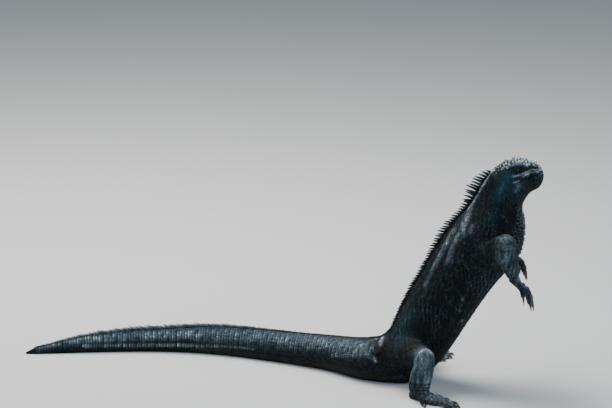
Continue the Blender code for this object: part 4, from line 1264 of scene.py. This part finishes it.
def lip_line(above, spacing):
    """Places along a line so many millimetres above the mouth, from the snout's middle back on the right."""
    u = np.linspace(0.6, PLACE["cheeks"], 260)
    v = np.linspace(np.pi / 2, 1.5 * np.pi, 241)
    ring = body_surface(u, v)
    over = above_mouth(ring)[0] - above
    first = np.argmax(over < 0, axis=1)
    rows = np.flatnonzero(first)
    k = first[rows]
    t = over[rows, k - 1] / (over[rows, k - 1] - over[rows, k])
    line = ring[rows, k - 1] + t[:, None] * (ring[rows, k] - ring[rows, k - 1])
    line = line[line[:, 0] > 161]
    run = run_along(line)
    at = np.arange(0, run[-1], spacing)
    return np.column_stack([np.interp(at, run, line[:, k]) for k in range(3)])


def placed_near(flat):
    """The u and v of the head's places nearest to straight points."""
    u, v = np.linspace(1, PLACE["neck"], 120), np.linspace(0, 2 * np.pi, 181)
    grid = straight_body(u, v)
    away = np.sum((flat[:, None] - grid.reshape(1, -1, 3)) ** 2, axis=-1)
    i, j = np.unravel_index(np.argmin(away, axis=1), grid.shape[:2])
    return u[i], v[j]


def scute_groups():
    """Straight points, ways and size of each group of plates on the right: lips, brow, lids and jowl."""
    groups = []
    for above, spacing, tall in LIP_ROWS:
        line = lip_line(above, spacing)
        groups.append((line, np.gradient(line, axis=0), (spacing * 1.06, tall, 0.7)))
    brow = np.linspace(*BROW, 10)
    groups.append((brow, np.gradient(brow, axis=0), (3.1, 2.3, 1.1)))
    middle = np.array(EYE) + eye_axes(1)[0] * 5
    for grow, count in LID_RINGS:
        flat = almond(1, LID_OPENING[0] * grow, LID_OPENING[1] * (grow + 0.35), count)
        groups.append((middle + flat, np.roll(flat, -1, axis=0) - flat, (1.35, 1.25, 0.5)))
    behind, down, wide = np.array(JOWL_SCUTES, float).T
    u, v = PLACE["cheeks"] + behind, math.pi + np.radians(down)[:, None]
    jowl = body_surface(u, v)[:, 0]
    groups.append((jowl, body_surface(u + 1, v)[:, 0] - jowl, wide[:, None] * (1.0, 0.92, 0.36)))
    return groups


def head_scutes(skin):
    """Squared plates of the lips, brows, lids and jowls, alike on both sides."""
    flat, way, size = [], [], []
    for side in (1, -1):
        for points, ways, shape in scute_groups():
            flat.append(points * (1, side, 1))
            way.append(ways * (1, side, 1))
            size.append(np.broadcast_to(shape, points.shape))
    flat, way, size = (np.concatenate(x) for x in (flat, way, size))
    size = size * np.random.default_rng(31).uniform(0.86, 1.12, size.shape)
    on, normal, _ = seat(place(flat), skin, 9)
    return stand("head_scutes", SCUTE, on, normal, way, size, markings(flat), unwrap(*placed_near(flat)), 32)


def tubercles(name, skin, table, seed, pale=0.0):
    """Pointed tubercles at rows of u, v and height, at least as pale as the share given."""
    u, v, size = table.T
    flat = body_surface(u, v[:, None])[:, 0]
    way = body_surface(u + 1.0, v[:, None])[:, 0] - flat
    on, normal, _ = seat(place(flat), skin, 9)
    marks = markings(flat)
    marks["pale"] = np.maximum(marks["pale"], pale)
    wide = 1.3 + 0.75 * size
    sizes = np.column_stack([wide, wide, size])
    return stand(name, TUBERCLE, on, normal, way, sizes, marks, unwrap(u, v), seed)


def clear_of_ear(flat):
    """Where straight points lie outside the ear drum's oval, which stays bare."""
    (x, z), (long, tall) = EAR
    return ((flat[:, 0] - x) / long) ** 2 + ((flat[:, 2] - z) / tall) ** 2 > 1


def head_plate_places(flat):
    """Where the head's small plates grow: not on the lips, lids, brow, nostril or ear drum."""
    q = right_side(flat)
    _, along, up = eye_axes(1)
    off = q - np.array(EYE)
    clear = ((off @ along) / 9.6) ** 2 + ((off @ up) / 6.0) ** 2 > 1
    clear &= np.linalg.norm(q - np.array(NOSTRIL), axis=-1) > 3.4
    clear &= clear_of_ear(flat)
    above, mouth = above_mouth(q)
    clear &= (np.abs(above) > 5.3) | (mouth < 0.5)
    return clear & (ridge(q, *BROW, 2.0) < 0.4)


def eye_ball(side):
    """An eyeball with a slight bulge of the cornea, and for each point its angle from the line of sight."""
    centre = on_side(EYE, side)
    eye = ball("eye_right" if side > 0 else "eye_left", centre, EYE_RADIUS, 64, 40)
    p = points_of(eye) - centre
    sight = unit(np.array((0.22, -side, 0.10)))
    angle = np.degrees(np.arccos(np.clip(p @ sight / np.linalg.norm(p, axis=1), -1, 1)))
    bulge = 1 + 0.035 * (1 - step(angle, 18, 44))
    set_points(eye, centre + p * bulge[:, None] * 0.985)
    give(eye, "gaze", angle)
    return eye


def claws():
    """Every claw as one mesh: rings along a curve that drops to the tip, deeper than they are wide."""
    points, faces, base = [], [], 0
    for side in (1, -1):
        for _, _, foot, toes, on_floor in LIMBS:
            for toe in toes:
                line = toe_line(foot, toe, side, on_floor, 5)
                ahead = unit(line[-1] - line[-2])
                t = np.linspace(-0.12, 1, 13)
                curve = line[-1] + ahead * (GAP + CLAW_LENGTH * t)[:, None]
                curve[:, 2] += CLAW_LENGTH * (0.22 * np.sin(np.pi * np.clip(t, 0, 1)) - 0.30 * t**2)
                if on_floor:
                    curve[:, 2] = np.maximum(curve[:, 2], 0.8)
                radii = CLAW_RADIUS * (1 - np.clip(t, 0, 1) ** 1.25) ** 0.85 + 0.12
                part = loft("claw", place(rings_on_line(curve, radii, 14, 1.15)))
                points.append(points_of(part))
                faces += [[v + base for v in face.vertices] for face in part.data.polygons]
                base += len(part.data.vertices)
                bpy.data.objects.remove(part)
    return fill_mesh("claws", np.concatenate(points), faces)


# Materials


def node(tree, kind, inputs=None, **settings):
    """Adds a node, sets its properties, and gives each named input a value or a link."""
    made = tree.nodes.new(kind)
    for name, value in settings.items():
        setattr(made, name, value)
    for key, value in (inputs or {}).items():
        if isinstance(value, bpy.types.NodeSocket):
            tree.links.new(value, made.inputs[key])
        else:
            made.inputs[key].default_value = value
    return made


def per_metre(size):
    """The scale of a noise whose patches are so many millimetres across."""
    return 1 / (size * MM)


def new_material(name):
    """A material with its node tree and its Principled shader."""
    made = bpy.data.materials.new(name)
    made.use_nodes = True
    return made, made.node_tree, made.node_tree.nodes["Principled BSDF"]


def layered(tree, base, *layers):
    """A base colour with others laid over it in turn, each by its own share from 0 to 1."""
    for share, code in layers:
        inputs = {0: share, 6: base, 7: linear(code)}
        base = node(tree, "ShaderNodeMix", inputs, data_type="RGBA").outputs[2]
    return base


def iguana_hide(name, lift, keel, grain):
    """Dry reptile hide: near-black keratin with a cold cast, pale on raised parts, matt with a slight sheen.

    The eye sees black slate that breaks into blue grey where scales are worn and where highlights are
    painted on them, and near white where the pale marks run strongest, which is mostly painted highlight on
    lit edges. The raised part of each scale also gets a faint painted sheen. lift is how much each scale's
    own tone shows, keel how far the pale wear and painted highlight keep to the raised part and how strong
    the painted sheen is, and grain how deep the finest relief is.
    """
    made, tree, shader = new_material(name)
    where = node(tree, "ShaderNodeTexCoord").outputs["Object"]
    patches = {"Vector": where, "Scale": per_metre(35.7), "Detail": 4.0}
    broad = node(tree, "ShaderNodeTexNoise", patches).outputs[0]
    # Real pores are finer than a millimetre. They are drawn coarser so that they show.
    pores = {"Vector": where, "Scale": per_metre(2.381), "Detail": 3.0}
    fine = node(tree, "ShaderNodeTexNoise", pores).outputs[0]
    marks = {key: node(tree, "ShaderNodeAttribute", attribute_name=key).outputs["Fac"]
             for key in ("pale", "teal", "brown", "tone", "rise")}
    squared = node(tree, "ShaderNodeMath", {0: marks["tone"], 1: 2.0}, operation="POWER").outputs[0]
    own = node(tree, "ShaderNodeMath", {0: squared, 1: lift}, operation="MULTIPLY").outputs[0]
    grit = {"Value": fine, "From Min": 0.55, "From Max": 0.8, "To Max": 0.05}
    dusty = node(tree, "ShaderNodeMapRange", grit).outputs[0]
    high = node(tree, "ShaderNodeMapRange", {"Value": marks["rise"], "To Min": 1.0 - keel}).outputs[0]
    # Painted sheen: the raised part of each scale is made a little lighter, more so with a higher keel.
    sheen = {0: marks["rise"], 1: 0.05 * keel}
    painted_sheen = node(tree, "ShaderNodeMath", sheen, operation="MULTIPLY").outputs[0]
    # Pale marks kept to each scale's raised part, real wear together with painted highlight; where they run
    # strongest they go near white, mostly as painted highlight.
    wear_and_highlight = node(tree, "ShaderNodeMath", {0: marks["pale"], 1: high}, operation="MULTIPLY").outputs[0]
    edges = {"Value": wear_and_highlight, "From Min": 0.8, "From Max": 1.25}
    salt_and_highlight = node(tree, "ShaderNodeMapRange", edges).outputs[0]
    base = layered(
        tree,
        linear("#04060a"),
        (broad, "#0c1217"),
        (marks["teal"], "#104452"),
        (marks["brown"], "#3b342c"),
        (own, "#46545c"),
        (dusty, "#59635f"),
        (painted_sheen, "#6b7d88"),
        (wear_and_highlight, "#93a7b4"),
        (salt_and_highlight, "#e8eef2"),
    )
    tree.links.new(base, shader.inputs["Base Color"])
    rough = node(tree, "ShaderNodeMapRange", {"Value": broad, "To Min": 0.42, "To Max": 0.62}).outputs[0]
    tree.links.new(rough, shader.inputs["Roughness"])
    shader.inputs["Specular IOR Level"].default_value = 0.08
    bump = node(tree, "ShaderNodeBump", {"Height": fine, "Strength": grain, "Distance": 0.0006})
    tree.links.new(bump.outputs[0], shader.inputs["Normal"])
    return made


def claw_horn():
    """Claw horn: dark brown keratin, polished by wear, which gives the eye small sharp lights on streaks."""
    made, tree, shader = new_material("polished claw horn")
    where = node(tree, "ShaderNodeTexCoord").outputs["Object"]
    grain = {"Vector": where, "Scale": per_metre(1.667), "Detail": 2.0}
    streak = node(tree, "ShaderNodeTexNoise", grain).outputs[0]
    base = layered(tree, linear("#15120f"), (streak, "#4a4238"))
    tree.links.new(base, shader.inputs["Base Color"])
    shader.inputs["Roughness"].default_value = 0.34
    bump = node(tree, "ShaderNodeBump", {"Height": streak, "Strength": 0.25, "Distance": 0.0003})
    tree.links.new(bump.outputs[0], shader.inputs["Normal"])
    return made


def wet_eye():
    """A living eye: black pupil and dark brown iris with lighter flecks, under a film of tears.

    The wet film gives the eye one small sharp glint.
    """
    made, tree, shader = new_material("wet eye")
    gaze = node(tree, "ShaderNodeAttribute", attribute_name="gaze").outputs["Fac"]
    where = node(tree, "ShaderNodeTexCoord").outputs["Object"]
    grain = {"Vector": where, "Scale": per_metre(1.111), "Detail": 2.0}
    flecks = node(tree, "ShaderNodeTexNoise", grain).outputs[0]
    iris = layered(tree, linear("#0c0907"), (flecks, "#2a1f17"))
    inside = node(tree, "ShaderNodeMapRange", {"Value": gaze, "From Min": 17.0, "From Max": 20.0}).outputs[0]
    rim = node(tree, "ShaderNodeMapRange", {"Value": gaze, "From Min": 38.0, "From Max": 43.0}).outputs[0]
    pupil = {0: inside, 6: linear("#030303"), 7: iris}
    base = node(tree, "ShaderNodeMix", pupil, data_type="RGBA").outputs[2]
    tree.links.new(layered(tree, base, (rim, "#0c0908")), shader.inputs["Base Color"])
    film = {"Roughness": 0.08, "Specular IOR Level": 0.3, "Coat Weight": 0.35, "Coat Roughness": 0.03}
    for key, value in film.items():
        shader.inputs[key].default_value = value
    return made


def studio_floor():
    """Matt pale paper, which gives the eye a soft shadow and no reflection."""
    made, _, shader = new_material("matt pale floor")
    shader.inputs["Base Color"].default_value = linear("#cfd2d3")
    shader.inputs["Roughness"].default_value = 0.9
    return made


def dress(thing, material):
    """Gives a piece its material and its body."""
    thing.data.materials.clear()
    thing.data.materials.append(material)
    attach(thing, "root")


# Stage


def area_light(name, at, aim, size, power, colour):
    """A flat lamp at a place, turned to an aim."""
    lamp = bpy.data.lights.new(name, "AREA")
    lamp.shape = "RECTANGLE"
    lamp.size, lamp.size_y = size
    lamp.energy = power
    lamp.color = linear(colour)[:3]
    made = in_scene(name, lamp)
    made.location = at
    made.rotation_euler = (Vector(aim) - Vector(at)).to_track_quat("-Z", "Y").to_euler()


# Lamps: name, place and aim in metres, size, watts, colour. The glint is the small light in the eye.
LIGHTS = (
    ("key", (-0.5, 0.7, 1.9), (0.05, 0, 0.15), (1.4, 1.2), 74.0, "#fff9f0"),
    ("side", (-1.3, -0.9, 1.3), (0.05, 0, 0.15), (1.0, 1.0), 9.0, "#eaf2ff"),
    ("front", (1.9, -0.7, 1.2), (0.15, 0, 0.2), (1.0, 1.0), 17.0, "#e6f0ff"),
    ("glint", (0.42, -1.25, 1.25), (0.35, 0, 0.33), (0.3, 0.1), 1.2, "#ffffff"),
)


def stage():
    """A pale floor under soft light from above and behind, with a weak fill from the camera's side."""
    corners = np.array([(-6000, -4000, 0), (6000, -4000, 0), (6000, 6000, 0), (-6000, 6000, 0)])
    floor = fill_mesh("floor", corners, [(0, 1, 2, 3)])
    floor.data.materials.append(studio_floor())
    world = bpy.data.worlds.new("studio")
    bpy.context.scene.world = world
    world.use_nodes = True
    world.node_tree.nodes["Background"].inputs[0].default_value = linear("#c9dae6")
    world.node_tree.nodes["Background"].inputs[1].default_value = 0.38
    for lamp in LIGHTS:
        area_light(*lamp)


def camera():
    """The photograph's view: a long lens 14 degrees above the level, rolled so that the floor rises left."""
    aim = Vector((CENTRE[0] * MM - 0.1479, CENTRE[1] * MM, 0.2713))
    distance = 5.1
    rise, roll = math.radians(14), math.radians(1.5)
    back = Vector((0, -math.cos(rise), math.sin(rise)))
    right = Vector((1, 0, 0))
    up = back.cross(right)
    level = right * math.cos(roll) + up * math.sin(roll)
    plumb = up * math.cos(roll) - right * math.sin(roll)
    lens = bpy.data.cameras.new("camera")
    lens.lens = 200.0
    lens.sensor_width = 36.0
    made = in_scene("camera", lens)
    turned = Matrix((level, plumb, back)).transposed().to_4x4()
    made.matrix_world = Matrix.Translation(aim + back * distance) @ turned
    bpy.context.scene.camera = made


def main():
    """The whole picture: the skin with its eyes, the coat of scales, and the claws."""
    camera()
    stage()
    skin = whole_skin()
    for side in (1, -1):
        open_lids(skin, side)
        open_nostril(skin, side)
        eye = eye_ball(side)
        dress(eye, wet_eye())
        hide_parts("eye_right" if side > 0 else "eye_left")
    for key, value in markings(unplace(points_of(skin))).items():
        give(skin, key, value * (0.35 if key == "pale" else 1))

    # Each coat reads the pale marks, partly painted highlight, and paints a faint sheen on each scale's
    # raised part.
    small = iguana_hide("small keeled body scales", 0.1, 0.5, 0.25)
    worn = iguana_hide("worn head and leg scales with painted highlights", 0.25, 0.6, 0.25)
    ringed = iguana_hide("ringed tail scales", 0.15, 0.85, 0.25)
    horny = iguana_hide("horny spines and tubercles", 0.3, 0.9, 0.2)
    head = rows_round(2.0, PLACE["occiput"], *HEAD_ROWS)
    on_head = body_surface(head[:, 0], head[:, 1:2])[:, 0]
    raised = 0.45 + 0.7 * ridge(on_head, (203, 0, 337), (180, 0, 345), 15)
    body = rows_round(PLACE["occiput"], PLACE["tail root"], *BODY_ROWS)
    tail = rows_round(PLACE["tail root"], PLACE["end"] - 5, *TAIL_ROWS, 0.0, 4)
    coat = (
        (body_scales("head_plates", PLATE, skin, head, raised, head_plate_places, 9.0, 5, 0.06), worn),
        (body_scales("body_scales", KEELED, skin, body, 0.5, clear_of_ear, stray=0.11), small),
        (body_scales("tail_scales", WHORL, skin, tail, 0.6, None, 4.0, 6, 0.02), ringed),
        (limb_scales(skin), worn),
        (head_scutes(skin), worn),
        (crest("crest_spines"), horny),
        (tubercles("crown_tubercles", skin, crown_places(), 3, 1.15), horny),
        (tubercles("throat_tubercles", skin, throat_places(), 8, 0.3), worn),
    )
    for thing, material in coat:
        dress(thing, material)
    dress(skin, iguana_hide("dry iguana hide", 0.0, 0.0, 0.5))
    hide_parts(*(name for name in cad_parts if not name.startswith(("claw_", "eye_"))))
    horn = claws()
    dress(horn, claw_horn())
    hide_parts(*(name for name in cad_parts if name.startswith("claw_")))


main()
